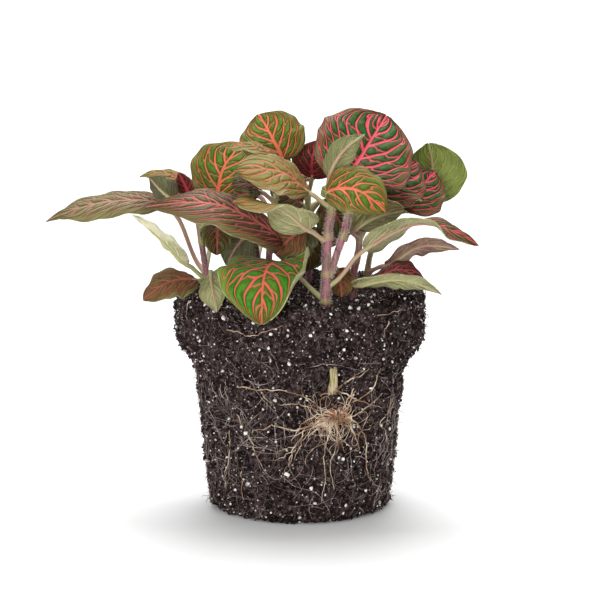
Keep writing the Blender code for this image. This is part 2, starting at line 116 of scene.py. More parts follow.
def put_points(obj, points):
    """Move a mesh's points to new places, in their own order."""
    obj.data.vertices.foreach_set("co", np.ascontiguousarray(points, np.float32).ravel())
    obj.data.update()


def named(name):
    """The primitive that was just added, under its own name."""
    obj = bpy.context.active_object
    obj.name = obj.data.name = name
    return obj


def settle(obj, material):
    """Give a shaped piece its material and smooth shading, and leave it deselected."""
    obj.data.materials.append(material)
    bpy.ops.object.shade_smooth()
    obj.select_set(False)
    return obj


def add_node(tree, kind, inputs=(), **settings):
    """Add a shader node; each of its inputs is a plain value or the output of another node."""
    node = tree.nodes.new("ShaderNode" + kind)
    for key, value in settings.items():
        setattr(node, key, value)
    for key, value in dict(inputs).items():
        socket = node.inputs[key]
        if isinstance(value, bpy.types.NodeSocket):
            tree.links.new(value, socket)
        elif socket.type == "RGBA":
            socket.default_value = (*value, 1)
        else:
            socket.default_value = value
    return node


def new_material(name, roughness):
    """A material with its shader, and a shortcut that adds a node to it."""
    material = bpy.data.materials.new(name)
    material.use_nodes = True
    shader = material.node_tree.nodes["Principled BSDF"]
    shader.inputs["Roughness"].default_value = roughness
    return material, shader, functools.partial(add_node, material.node_tree)


def finish_material(material, shader, colour, height, strength, depth):
    """Give the shader its colour, and a fine relief so many metres deep."""
    links = material.node_tree.links
    links.new(colour, shader.inputs["Base Color"])
    bump = add_node(material.node_tree, "Bump",
                    {"Strength": strength, "Distance": depth, "Height": height})
    links.new(bump.outputs[0], shader.inputs["Normal"])
    return material


def grain(place, scale, detail=2, roughness=0.5):
    """A soft random pattern, finer as the scale rises."""
    return add_node(place.id_data, "TexNoise", {"Vector": place, "Scale": scale, "Detail": detail,
                                                "Roughness": roughness}).outputs["Fac"]


def blend(share, first, second):
    """Mix two colours, each a plain colour or the output of a node."""
    return add_node(share.id_data, "Mix", {0: share, 6: first, 7: second}, data_type="RGBA",
                    clamp_factor=True).outputs[2]


def fade(value, start, end, low=0.0, high=1.0):
    """Smoothly from low to high as the value goes from start to end."""
    return add_node(value.id_data, "MapRange", {"Value": value, "From Min": start, "From Max": end,
                                                "To Min": low, "To Max": high},
                    interpolation_type="SMOOTHSTEP").outputs[0]


def maths(operation, *values):
    """Arithmetic on the outputs of nodes and plain numbers."""
    tree = next(value.id_data for value in values if isinstance(value, bpy.types.NodeSocket))
    return add_node(tree, "Math", dict(enumerate(values)), operation=operation).outputs[0]


def peat_material():
    """Dark peat with pale specks: browner on the crumbs, near black in the gaps as painted shade,
    and lighter on the raised grit, partly lighter peat and partly painted highlight.
    """
    material, shader, add = new_material("dark_peat", 0.95)
    place = add("TexCoord").outputs["Object"]
    grit = grain(place, 1000, 3, 0.75)
    crumb = add("TexVoronoi", {"Vector": place, "Scale": 620}).outputs
    dust = add("TexVoronoi", {"Vector": place, "Scale": 1100}).outputs
    colour = blend(fade(grain(place, 90, 4), 0.35, 0.65), (0.007, 0.004, 0.004),
                   (0.024, 0.014, 0.014))
    tone = add("SeparateColor", {"Color": crumb["Color"]}).outputs[0]
    colour = blend(fade(tone, 0.4, 1.0, 0, 0.8), colour, (0.088, 0.06, 0.059))
    # lighter brown where the grit stands highest: partly lighter peat, partly a painted highlight on
    # the raised bits
    colour = blend(fade(grit, 0.54, 0.63, 0, 0.85), colour, (0.2, 0.15, 0.145))
    # painted shade: near black in the gaps between the crumbs
    colour = blend(fade(crumb["Distance"], 0.4, 0.65, 0, 0.5), colour, (0.006, 0.004, 0.004))
    rare = fade(add("SeparateColor", {"Color": dust["Color"]}).outputs[1], 0.93, 0.95)
    speck = maths("MULTIPLY", fade(dust["Distance"], 0.22, 0.38, 1, 0), rare)
    colour = blend(speck, colour, (0.55, 0.5, 0.44))
    shader.inputs["Specular IOR Level"].default_value = 0.06
    return finish_material(material, shader, colour, grit, 1.0, 0.8 * MM)


PEAT = peat_material()
# The relief of the skin: its pattern, the width of a lump, how far it is pushed, and the level
# that stays where it is
PEAT_RELIEF = [
    ("peat_lumps", "CLOUDS", 8 * MM, 2.8 * MM, 0.52),
    ("peat_clods", "VORONOI", 2.6 * MM, -1.9 * MM, 0.35),
    ("peat_grit", "CLOUDS", 1.2 * MM, 1.5 * MM, 0.5),
]


def displace(obj, name, kind, size, strength, middle):
    """Push the skin in and out with a solid pattern, and keep the result in the mesh."""
    pattern = bpy.data.textures.new(name, kind)
    pattern.noise_scale = size
    if kind == "CLOUDS":
        pattern.noise_depth = 3
    push = obj.modifiers.new(name, "DISPLACE")
    push.texture = pattern
    push.texture_coords = "LOCAL"
    push.strength = strength
    push.mid_level = middle
    bpy.context.view_layer.objects.active = obj
    bpy.ops.object.modifier_apply(modifier=name)


def make_peat():
    """The whole skin, from a sphere drawn out to the ball's profile and then roughened."""
    bpy.ops.mesh.primitive_uv_sphere_add(segments=BALL_SIDES, ring_count=BALL_RINGS, radius=1)
    peat = named("peat_body")
    line = ball_profile()
    run = np.concatenate([[0], np.cumsum(np.hypot(*np.diff(line, axis=0).T))])
    points = mesh_points(peat)
    share = np.arccos(np.clip(points[:, 2], -1, 1)) / math.pi
    turn = np.arctan2(points[:, 0], -points[:, 1])
    radius = np.interp(share * run[-1], run, line[:, 0])
    height = np.interp(share * run[-1], run, line[:, 1])
    # the collar's lower edge wanders, and the whole ball is a little out of round
    sag = (1.3 * np.sin(2 * turn + 0.6) + 0.9 * np.sin(5 * turn + 2) + 0.5 * np.sin(11 * turn)) * MM
    collar = np.exp(-((height - COLLAR_FOOT) / (7 * MM)) ** 2)
    height = height + sag * collar
    side = np.clip(radius / FOOT_RADIUS, 0, 1) ** 2
    radius = radius + side * MM * (0.5 * np.sin(3 * turn + 1) + 0.35 * np.sin(7 * turn + 4))
    put_points(peat, np.stack([radius * np.sin(turn), -radius * np.cos(turn), height], 1))
    for relief in PEAT_RELIEF:
        displace(peat, *relief)
    points = mesh_points(peat)
    points[:, 2] = np.clip(points[:, 2], 0, SOIL + SOIL_PILE)
    put_points(peat, points)
    return settle(peat, PEAT)


peat = make_peat()
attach(peat, "root")
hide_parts("root_ball")


# ---------------------------------------------------------------- loose peat crumbs
# Peat breaks into crumbs of half a millimetre to two, and into finer grit.  Both cling all over
# the ball and make its ragged outline.

CRUMBS = 6500
CRUMB_SIZES = (0.22, 1.5)
FINE_CRUMBS = 9500
FINE_SIZES = (0.12, 0.55)
BARE_FOOT = 0.6 * MM


def surface_spots(obj, count, chance):
    """Random places on a mesh, spread by area, with the way the surface faces at each."""
    faces = obj.data.polygons
    area = np.empty(len(faces))
    centre = np.empty(len(faces) * 3)
    facing = np.empty(len(faces) * 3)
    faces.foreach_get("area", area)
    faces.foreach_get("center", centre)
    faces.foreach_get("normal", facing)
    area[centre.reshape(-1, 3)[:, 2] < BARE_FOOT] = 0
    # a primitive numbers its faces differently each time, so they are put in order of corners
    order = np.array(sorted(range(len(faces)), key=lambda index: sorted(faces[index].vertices)))
    picks = order[chance.choice(len(faces), count, p=area[order] / area.sum())]
    return centre.reshape(-1, 3)[picks], facing.reshape(-1, 3)[picks]


def scatter_lumps(name, places, sizes, flatness, chance):
    """Rough low lumps of the given sizes at the places, as one mesh."""
    bpy.ops.mesh.primitive_ico_sphere_add(subdivisions=1, radius=1)
    lumps = named(name)
    model = mesh_points(lumps)
    faces = np.array([list(face.vertices) for face in lumps.data.polygons])
    count = len(places)
    shapes = model[None] * chance.uniform(0.65, 1.3, (count, len(model), 1))
    shapes = shapes * chance.uniform(flatness, 1, (count, 1, 3)) * sizes[:, None, None]
    turns = chance.normal(size=(count, 4))
    w, x, y, z = (turns / np.linalg.norm(turns, axis=1, keepdims=True)).T
    spin = np.array([[1 - 2 * (y * y + z * z), 2 * (x * y - z * w), 2 * (x * z + y * w)],
                     [2 * (x * y + z * w), 1 - 2 * (x * x + z * z), 2 * (y * z - x * w)],
                     [2 * (x * z - y * w), 2 * (y * z + x * w), 1 - 2 * (x * x + y * y)]])
    shapes = np.einsum("ijn,nvj->nvi", spin, shapes) + places[:, None]
    shapes[..., 2] = np.maximum(shapes[..., 2], 0)
    every = (faces[None] + np.arange(count)[:, None, None] * len(model)).reshape(-1, 3)
    mesh = bpy.data.meshes.new(name)
    mesh.from_pydata(shapes.reshape(-1, 3), [], every)
    lumps.data = mesh
    lumps.select_set(False)
    return lumps


chance = np.random.default_rng(11)
places, facings = surface_spots(peat, CRUMBS, chance)
sizes = chance.gamma(2.4, 0.2, CRUMBS).clip(*CRUMB_SIZES) * MM
places = places + facings * (sizes * chance.uniform(-0.4, 0.5, CRUMBS))[:, None]
crumbs = scatter_lumps("peat_crumbs", places, sizes, 0.35, chance)
crumbs.data.materials.append(PEAT)
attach(crumbs, "root")
places, facings = surface_spots(peat, FINE_CRUMBS, chance)
sizes = chance.gamma(2.4, 0.09, FINE_CRUMBS).clip(*FINE_SIZES) * MM
places = places + facings * (sizes + 0.25 * MM)[:, None]
grit = scatter_lumps("peat_grit", places, sizes, 0.35, chance)
grit.data.materials.append(PEAT)
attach(grit, "root")


# ---------------------------------------------------------------- perlite
# White volcanic glass popped like corn, mixed into the peat to keep it open: rough pale grains,
# most of them under a millimetre, pressed into the face of the ball.

PERLITE_GRAINS = 1750
PERLITE_SIZE = 0.29
PERLITE_SIZES = (0.14, 1.0)


def perlite_material():
    """Chalky white grains, some of them soiled by the peat, with pinhole pores."""
    material, shader, add = new_material("perlite", 0.8)
    place = add("TexCoord").outputs["Object"]
    colour = blend(fade(grain(place, 420, 3), 0.46, 0.66), (0.9, 0.87, 0.82), (0.36, 0.29, 0.24))
    return finish_material(material, shader, colour, grain(place, 3500), 0.6, 0.2 * MM)


chance = np.random.default_rng(23)
places, facings = surface_spots(peat, PERLITE_GRAINS, chance)
sizes = PERLITE_SIZE * np.exp(chance.normal(0, 0.5, PERLITE_GRAINS))
sizes = sizes.clip(*PERLITE_SIZES) * MM
places = places + facings * (sizes * 0.5 + 0.35 * MM)[:, None]
grains = scatter_lumps("perlite_grains", places, sizes, 0.5, chance)
grains.data.materials.append(perlite_material())
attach(grains, "root")


# ---------------------------------------------------------------- fine roots and fibres
# Hair roots that ran along the pot's wall, with bits of sedge and bark fibre out of the peat.
# They lie on the ball's face, mostly downwards, and slip under the crumbs here and there.

WALL_ROOTS = 330
WALL_ROOT_RADII = (0.05, 0.12)
ROOT_STRIDE = 1.9 * MM
FIBRES = 2700
FIBRE_LENGTHS = (1.2, 4.5)
FIBRE_RADII = (0.07 * MM, 0.08 * MM, 0.035 * MM)
WELD = 0.004 * MM


def strand_mesh(name, strands, resolution, material):
    """Thin round rods as one mesh: each strand is a list of points and their radii."""
    curve = bpy.data.curves.new(name, "CURVE")
    curve.dimensions = "3D"
    curve.bevel_depth = 1
    curve.bevel_resolution = resolution
    curve.use_fill_caps = True
    for points, radii in strands:
        spline = curve.splines.new("POLY")
        spline.points.add(len(points) - 1)
        spline.points.foreach_set("co", [c for p in points for c in (*p, 1)])
        spline.points.foreach_set("radius", [float(r) for r in radii])
    rods = bpy.data.objects.new(name, curve)
    bpy.context.scene.collection.objects.link(rods)
    bpy.context.view_layer.objects.active = rods
    rods.select_set(True)
    bpy.ops.object.convert(target="MESH")
    rods = bpy.context.active_object
    bpy.ops.object.mode_set(mode="EDIT")
    bpy.ops.mesh.select_all(action="SELECT")
    bpy.ops.mesh.remove_doubles(threshold=WELD)
    bpy.ops.mesh.normals_make_consistent(inside=False)
    bpy.ops.object.mode_set(mode="OBJECT")
    bpy.ops.object.shade_smooth()
    rods.data.materials.clear()
    rods.data.materials.append(material)
    rods.name = rods.data.name = name
    rods.select_set(False)
    return rods


def outwards_at(turn):
    """Straight out from the ball's axis, at a turn from the front towards +X."""
    return Vector((math.sin(turn), -math.cos(turn), 0))


def on_ball(turn, height, lift):
    """A point above the peat's real skin."""
    out = outwards_at(turn)
    hit, place, _, _ = peat.ray_cast(out * 0.2 + Vector((0, 0, height)), -out)
    if not hit:
        place = out * WAIST_RADIUS + Vector((0, 0, height))
    return place + out * lift


def wander(turn, height, heading, steps, stride, bend, lift, chance):
    """A root's way over the ball's side; the heading is an angle from level, in radians."""
    points = []
    swing = chance.normal(0, bend)
    for _ in range(steps):
        points.append(on_ball(turn, height, lift * (0.4 + 1.2 * chance.random())))
        swing = swing * 0.6 + chance.normal(0, bend)
        heading += swing
        turn += math.cos(heading) * stride / WAIST_RADIUS
        height += math.sin(heading) * stride
        if not 1.2 * MM < height < SOIL - 2 * MM:
            break
    return points


def root_material(name, pale, dark, scale):
    """Wiry root skin: pale with darker patches, and fine rings round it."""
    material, shader, add = new_material(name, 0.7)
    place = add("TexCoord").outputs["Object"]
    rings = grain(place, 1800)
    colour = blend(fade(grain(place, scale, 4), 0.38, 0.66), dark, pale)
    colour = blend(fade(rings, 0.5, 0.8, 0, 0.5), colour, dark)
    return finish_material(material, shader, colour, rings, 0.5, 0.1 * MM)


WALL_ROOT = root_material("wall_root", (0.58, 0.48, 0.43), (0.15, 0.1, 0.09), 110)
chance = np.random.default_rng(37)
strands = []
for number in range(WALL_ROOTS):
    height = SHOULDER_FOOT * chance.random() ** 0.8 + 2 * MM
    downwards = -math.pi / 2 + chance.normal(0, 0.6)
    if number % 4 == 0:
        height = 4 * MM + chance.random() * (SOIL - 8 * MM)
        downwards = chance.choice([0, math.pi]) + chance.normal(0, 0.35)
    line = wander(chance.uniform(-math.pi, math.pi), height, downwards,
                  int(chance.integers(6, 20)), ROOT_STRIDE, 0.16, 0.5 * MM, chance)
    if len(line) > 2:
        thick = chance.uniform(*WALL_ROOT_RADII) * MM
        strands.append((line, np.linspace(thick, thick * 0.5, len(line))))
wall_roots = strand_mesh("wall_roots", strands, 0, WALL_ROOT)
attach(wall_roots, "root")

chance = np.random.default_rng(41)
places, facings = surface_spots(peat, FIBRES, chance)
strands = []
for place, facing in zip(places, facings):
    along = Vector(chance.normal(size=3)).normalized()
    out = Vector(facing)
    along = (along - out * along.dot(out) * 0.75).normalized()
    length = chance.uniform(*FIBRE_LENGTHS) * MM
    start = Vector(place) + out * 0.3 * MM
    bow = out * chance.uniform(0.1, 0.9) * MM
    line = [start, start + along * length * 0.5 + bow, start + along * length + out * 0.2 * MM]
    if min(p.z for p in line) > 0.2 * MM:
        strands.append((line, FIBRE_RADII))
fibres = strand_mesh("peat_fibres", strands, 0,
                     root_material("peat_fibre", (0.33, 0.255, 0.235), (0.038, 0.026, 0.024), 300))
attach(fibres, "root")


# ---------------------------------------------------------------- root nest
# Under the collar a snapped woody twig stands out of the peat.  Below it an old cutting has
# rooted: an orange core with dozens of pale wiry roots that fan out over the face of the ball.

KNOT_TURN = math.radians(20)
KNOT_HEIGHT = SHOULDER_FOOT - 12.5 * MM
CORE_WIDTH, CORE_DEPTH, CORE_HEIGHT = 3.9 * MM, 1.5 * MM, 4.6 * MM
CORE_RELIEF = [
    ("core_mat", "VORONOI", 1.3 * MM, -1.3 * MM, 0.3),
    ("core_fibre", "CLOUDS", 0.6 * MM, 0.7 * MM, 0.5),
]
TWIG_TURN = math.radians(16)
TWIG_RADIUS = 1.28 * MM
TWIG_STAND = 1.1 * MM

# The strongest roots: radius in mm, then (degrees round the ball, mm up) along each
NEST_ROOTS = [
    (0.3, [(21, 47), (25.3, 49.9), (34, 53.1), (40.2, 56.5)]),
    (0.2, [(25.3, 49.9), (31, 51.3), (35.6, 54.5)]),
    (0.32, [(18, 48), (25.9, 44.7), (35.5, 41.9), (42.8, 39.9), (52, 38.5)]),
    (0.4, [(19, 47.6), (14.9, 46.6), (10.6, 45.6)]),
    (0.28, [(49.2, 52.7), (46.3, 48.4), (41.1, 45.5), (33.2, 43.1), (24, 40)]),
    (0.26, [(29.6, 47.1), (25, 42.6), (22, 38)]),
    (0.22, [(30.6, 46.4), (26.4, 42), (23, 37)]),
    (0.26, [(22, 37.6), (31.7, 37.9), (42.6, 41.1), (53, 43.5)]),
    (0.22, [(64, 41.1), (60, 35.9), (54.2, 32.7), (61.3, 29.1), (60.3, 25.3)]),
    (0.3, [(19.5, 40), (20.5, 36), (22.5, 31.6), (28.8, 27.1)]),
    (0.28, [(21, 41), (23.5, 37.9), (28.1, 33.5), (32.3, 29.5), (35.5, 26.3), (32.3, 25)]),
    (0.3, [(23, 40), (30, 36), (36.3, 31.5), (41.1, 25.5), (44.5, 17.9), (46.3, 13)]),
    (0.24, [(16, 38.5), (9.9, 38.6), (4.9, 37.6), (0, 34.8), (-5, 30)]),
    (0.28, [(15, 37.5), (3, 36.3), (-7.3, 34.5), (-16, 35.1), (-21, 33.7), (-27, 33)]),
    (0.3, [(15, 37.2), (8, 36), (3, 33.9), (-1, 29.9), (-4.1, 25.8), (-6.4, 21)]),
    (0.22, [(14, 36.4), (7, 34), (4, 31), (0.5, 27), (-3, 23)]),
    (0.16, [(-2.5, 27.5), (-8, 26.8), (-13.5, 25.2)]),
    (0.16, [(-3, 26), (-9, 24.2), (-14, 22.5), (-18, 23)]),
    (0.15, [(-4, 24.5), (-8, 20), (-9, 15)]),
    (0.24, [(-35.6, 47.2), (-24.6, 47.3), (-20, 46.6), (-10.2, 47.3), (0, 45.6), (9, 42)]),
    (0.2, [(-20, 46.4), (-17, 44), (-15.1, 42.2)]),
    (0.18, [(-10.7, 42.5), (-4, 42.9), (3, 42.3), (12, 40)]),
    (0.2, [(-47.5, 30.9), (-49.5, 20.5), (-52, 15), (-55, 9)]),
    (0.2, [(-40.2, 37.2), (-33.7, 31.8), (-26.7, 27), (-23, 22.8), (-21, 18)]),
    (0.18, [(-38.3, 17.4), (-38, 12), (-37.1, 7)]),
    (0.18, [(-34.6, 68), (-26.5, 67.6), (-21.5, 67.9), (-14.2, 69.9), (-7.1, 70.8)]),
    (0.16, [(-58, 76), (-61.5, 73.4), (-61, 68.5)]),
    (0.18, [(43.5, 70.2), (41.2, 68), (40.4, 65)]),
    (0.16, [(36.2, 72.7), (45.2, 73.2), (55.8, 72.3)]),
    (0.22, [(17, 36), (15.5, 28), (13, 22), (15, 15), (13, 8)]),
    (0.2, [(20, 35), (21, 27), (18.5, 20), (20, 12)]),
]
FANNED_ROOTS = 54
FAN_LENGTHS = (6, 22)
FAN_RADII = (0.09, 0.19)


def smooth_run(points, samples):
    """A smooth line through the points, with the given number of steps between two of them."""
    knots = np.array([points[0]] + list(points) + [points[-1]], float)
    shares = np.linspace(0, 1, samples, endpoint=False)[:, None]
    parts = []
    for a, b, c, d in zip(knots, knots[1:], knots[2:], knots[3:]):
        parts.append(b + 0.5 * shares * (c - a + shares * (2 * a - 5 * b + 4 * c - d
                                                           + shares * (3 * (b - c) + d - a))))
    return np.concatenate(parts + [knots[-1:]])


def lay_on_ball(route, lift, chance, wiggle=0.7):
    """Lift a run of (turn, height) off the peat, evened out so that it bridges small hollows."""
    reach = np.array([math.hypot(*on_ball(turn, height, 0).xy) for turn, height in route])
    padded = np.pad(reach, 3, mode="edge")
    even = np.mean([padded[k:k + len(reach)] for k in range(7)], axis=0)
    reach = np.maximum(even, reach - 0.2 * MM) + lift
    drift = np.cumsum(chance.normal(0, wiggle * 0.35, (len(reach), 2)), axis=0) * MM
    drift -= np.linspace(0, 1, len(reach))[:, None] * drift[-1]
    line = []
    for (turn, height), radius, (across, up) in zip(route, reach, drift):
        point = outwards_at(turn + across / radius) * radius
        point.z = max(height + up, 0.4 * MM)
        line.append(point)
    return line


def taper(thick, count):
    """Radii that shrink along a root and end in a fine tip."""
    radii = np.linspace(thick, thick * 0.45, count)
    radii[-1] *= 0.35
    return radii


NEST_ROOT = root_material("nest_root", (0.8, 0.66, 0.49), (0.3, 0.16, 0.085), 260)
chance = np.random.default_rng(53)
strands = []
for thick, points in NEST_ROOTS:
    route = smooth_run([(math.radians(turn), up * MM) for turn, up in points], 6)
    line = lay_on_ball(route, chance.uniform(0.5, 1.3) * MM, chance)
    strands.append((line, taper(thick * MM * 0.92, len(line))))
for _ in range(FANNED_ROOTS):
    heading = chance.uniform(-1.12 * math.pi, 0.12 * math.pi)
    start = chance.uniform(0.5, 4.5) * MM
    length = chance.uniform(*FAN_LENGTHS) * MM * (1.15 if math.sin(heading) < -0.5 else 0.9)
    turn = KNOT_TURN + math.cos(heading) * start / WAIST_RADIUS
    height = KNOT_HEIGHT + 1.5 * MM + math.sin(heading) * start
    route = [(turn, height)]
    swing = chance.normal(0, 0.16)
    for _ in range(int(length / MM)):
        swing = swing * 0.8 + chance.normal(0, 0.24)
        heading += swing
        turn += math.cos(heading) * MM / WAIST_RADIUS
        height = max(height + math.sin(heading) * MM, 2 * MM)
        route.append((turn, height))
    line = lay_on_ball(route, 0.3 * MM, chance, 0.15)
    rise = chance.uniform(0.1, 1.5) * MM
    arch = np.sin(np.linspace(0.35, 1, len(line)) * math.pi)
    line = [point + Vector((point.x, point.y, 0)).normalized() * rise * up
            for point, up in zip(line, arch)]
    strands.append((line, taper(chance.uniform(*FAN_RADII) * MM, len(line))))
nest = strand_mesh("root_nest", strands, 1, NEST_ROOT)
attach(nest, "root")
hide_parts(*["root_" + str(number) for number in range(1, 11)])


def make_root_core():
    """The matted heart of the nest, flattened against the ball."""
    bpy.ops.mesh.primitive_uv_sphere_add(segments=64, ring_count=40, radius=1)
    core = named("root_core")
    middle = on_ball(KNOT_TURN, KNOT_HEIGHT + 1 * MM, 0.1 * MM)
    across = outwards_at(KNOT_TURN + math.pi / 2)
    points = mesh_points(core)
    put_points(core, np.array(middle) + np.outer(points[:, 0] * CORE_WIDTH, across)
               - np.outer(points[:, 1] * CORE_DEPTH, outwards_at(KNOT_TURN))
               + np.outer(points[:, 2] * CORE_HEIGHT, (0, 0, 1)))
    for relief in CORE_RELIEF:
        displace(core, *relief)
    return settle(core, root_material("root_core", (0.44, 0.19, 0.09), (0.05, 0.022, 0.012), 700))


core = make_root_core()
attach(core, "root")
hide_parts("root_knot")


def twig_material():
    """Weathered wood, streaked along its length, with patches of bare bark."""
    material, shader, add = new_material("old_twig", 0.75)
    place = add("TexCoord").outputs["Object"]
    long = add("Mapping", {"Vector": place, "Scale": (1, 1, 0.12)}).outputs[0]
    streak = grain(long, 2200, 4)
    colour = blend(fade(streak, 0.4, 0.65), (0.16, 0.13, 0.05), (0.46, 0.42, 0.2))
    colour = blend(fade(grain(place, 380), 0.5, 0.7), colour, (0.5, 0.36, 0.25))
    return finish_material(material, shader, colour, streak, 0.7, 0.3 * MM)


def make_twig():
    """A short woody stump with a splintered lower end, from a cylinder."""
    low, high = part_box("root_stub")
    middle = (low + high) / 2
    bpy.ops.mesh.primitive_cylinder_add(vertices=28, radius=TWIG_RADIUS, depth=1,
                                        end_fill_type="TRIFAN")
    twig = named("snapped_twig")
    bpy.ops.object.mode_set(mode="EDIT")
    bpy.ops.mesh.select_all(action="SELECT")
    bpy.ops.mesh.subdivide(number_cuts=5)
    bpy.ops.object.mode_set(mode="OBJECT")
    points = mesh_points(twig)
    share = points[:, 2] + 0.5
    turn = np.arctan2(points[:, 1], points[:, 0])
    out = 1 + 0.1 * np.sin(3 * turn + 5 * share) + 0.07 * np.sin(7 * turn) + 0.12 * (share < 0.3)
    points[:, 0] = points[:, 0] * out + 0.5 * MM * np.sin(share * 2.4)
    points[:, 1] *= out
    length = high.z - low.z + 1.4 * MM
    ragged = 0.7 * MM * np.sin(5 * turn) * (1 - share)
    points[:, 2] = high.z - (1 - share) * length + ragged
    points[:, :2] += np.array(middle)[:2] + np.array(outwards_at(TWIG_TURN))[:2] * TWIG_STAND
    put_points(twig, points)
    return settle(twig, twig_material())


twig = make_twig()
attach(twig, "root")
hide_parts("root_stub")


# ---------------------------------------------------------------- stems
# Soft juicy stems, purple-pink between the nodes and yellow-green at them, where each swells and
# sends out a pair of leaves.  The front one forks at its first node.

UP = Vector((0, 0, 1))

# Radius at the soil and at the top, the centre line in mm from the ball's axis and the soil, and
# the heights of the nodes
STEMS = {
    "stem_main": (1.9, 1.35, [(8.6, -33, 0), (8.8, -32.6, 10), (9.2, -32, 23), (11, -30.5, 35)],
                  (1.5, 10.5, 23, 34)),
    "stem_left": (1.2, 1.0, [(-31.5, -18, 0), (-31.8, -18, 8), (-33, -18, 17), (-35, -16.5, 29)],
                  (5.5, 19, 27.5)),
    "stem_middle": (1.3, 1.0, [(-10.5, -8, 0), (-10.6, -8, 10), (-9.5, -9, 25), (-7, -11, 40)],
                    (9, 19.5, 31, 38)),
    "stem_right": (1.4, 1.1, [(18, -15, 0), (18.3, -15, 8), (20, -15, 17), (19, -15, 28)],
                   (3.5, 12, 20, 26.5)),
    "stem_right_back": (1.1, 0.9, [(23, 2, 0), (23.4, 2, 7), (25.5, 2.5, 16), (30, 4, 26)],
                        (5.5, 17, 24.5)),
    "stem_back_left": (1.2, 0.9, [(-14.5, 8, 0), (-14.6, 8.3, 8), (-16, 9.5, 17), (-18, 11, 27)],
                       (8, 19.5, 26)),
    "stem_back": (1.3, 1.0, [(3, 14, 0), (3, 14.2, 8), (2.5, 14, 20), (3, 12, 33)],
                  (7, 18, 28, 32)),
}
# Height in mm where the skin starts to turn green, which it does by YOUNG_LENGTH above
YOUNG_FROM = {"stem_main": 26, "stem_left": 15, "stem_right_back": 2}
YOUNG_LENGTH = 14
NODE_REACH = 1.5
NODE_SWELL = 0.14
BURIED = 9 * MM
FORK = (1.3, 1.1, [(9.2, -32.6, 8.6), (12.6, -31.8, 18), (15.4, -30.6, 26), (16.6, -29.5, 32.5)],
        (23.5, 31.5))


def crown_point(point):
    """A point of the crown, given in mm from the ball's axis and the soil's surface."""
    x, y, z = point
    return Vector((x * MM, y * MM, SOIL + z * MM))


def slopes_through(knots, first_slope):
    """The distances between the knots, and the slope of a smooth line at each of them."""
    chords = [(b - a).length for a, b in zip(knots, knots[1:])]
    runs = [(b - a) / c for a, b, c in zip(knots, knots[1:], chords)]
    slopes = [first_slope]
    for i in range(1, len(knots) - 1):
        before, after = chords[i - 1], chords[i]
        slopes.append((runs[i - 1] * after + runs[i] * before) / (before + after))
    slopes.append(runs[-1] * 1.5 - slopes[-1] * 0.5)
    return chords, slopes


def between(knots, chords, slopes, i, share):
    """The point at a share of the way from one knot to the next."""
    square, cube = share * share, share ** 3
    return (knots[i] * (2 * cube - 3 * square + 1)
            + slopes[i] * chords[i] * (cube - 2 * square + share)
            + knots[i + 1] * (3 * square - 2 * cube)
            + slopes[i + 1] * chords[i] * (cube - square))


def smooth_line(knots, first_slope, samples):
    """A smooth line through the knots, in so many steps from one to the next."""
    chords, slopes = slopes_through(knots, first_slope)
    line = [knots[0]]
    for i in range(len(knots) - 1):
        for step in range(1, samples + 1):
            line.append(between(knots, chords, slopes, i, step / samples))
    return line


def stem_material():
    """Purple skin that turns yellow-green at the nodes, streaked along its length."""
    material, shader, add = new_material("stem_skin", 0.5)
    place = add("TexCoord").outputs["Object"]
    node = add("Attribute", attribute_name="node_share").outputs["Fac"]
    young = add("Attribute", attribute_name="young_share").outputs["Fac"]
    long = add("Mapping", {"Vector": place, "Scale": (1, 1, 0.1)}).outputs[0]
    streak = grain(long, 1500, 3)
    bark = blend(fade(streak, 0.38, 0.62), (0.14, 0.045, 0.06), (0.36, 0.12, 0.16))
    bark = blend(fade(grain(place, 260), 0.45, 0.7, 0, 0.55), bark, (0.26, 0.2, 0.12))
    fresh = blend(fade(streak, 0.4, 0.65), (0.26, 0.27, 0.09), (0.42, 0.42, 0.2))
    colour = blend(young, bark, fresh)
    colour = blend(fade(node, 0.3, 1.0, 0, 0.55), colour, (0.36, 0.34, 0.1))
    shader.inputs["Subsurface Weight"].default_value = 0.12
    shader.inputs["Subsurface Radius"].default_value = (0.0012, 0.0006, 0.0004)
    shader.inputs["Subsurface Scale"].default_value = 1.0
    return finish_material(material, shader, colour, streak, 0.5, 0.2 * MM)


STEM_SKIN = stem_material()


def stem_run(foot_radius, top_radius, points, nodes, first_slope, samples=12):
    """Centre line and radii of a stem, swollen at its nodes and rounded off at its top."""
    line = smooth_line([crown_point(p) for p in points], first_slope, samples)
    radii = []
    for i, point in enumerate(line):
        radius = foot_radius + (top_radius - foot_radius) * i / (len(line) - 1)
        above = (point.z - SOIL) / MM
        swell = sum(math.exp(-((above - node) / NODE_REACH) ** 2) for node in nodes)
        radii.append(radius * (0.95 + NODE_SWELL * swell) * MM)
    last, end_radius = line[-1], radii[-1]
    ahead = (line[-1] - line[-2]).normalized()
    for push, share in ((0.5, 0.86), (0.85, 0.55), (1.05, 0.12)):
        line.append(last + ahead * push * end_radius)
        radii.append(share * end_radius)
    return line, radii


def note_points(obj, name, values):
    """Keep a number for each point of a mesh, for its material to read."""
    obj.data.attributes.new(name, "FLOAT", "POINT")
    obj.data.attributes[name].data.foreach_set("value", values.astype(np.float32))


def mark_stem(stem, nodes, young_from):
    """Note on each point how near a node it is, and how young and green its skin is."""
    above = (mesh_points(stem)[:, 2] - SOIL) / MM
    near = np.max([np.exp(-((above - node) / NODE_REACH) ** 2) for node in nodes], axis=0)
    note_points(stem, "node_share", near)
    note_points(stem, "young_share", np.clip((above - young_from) / YOUNG_LENGTH, 0, 1))


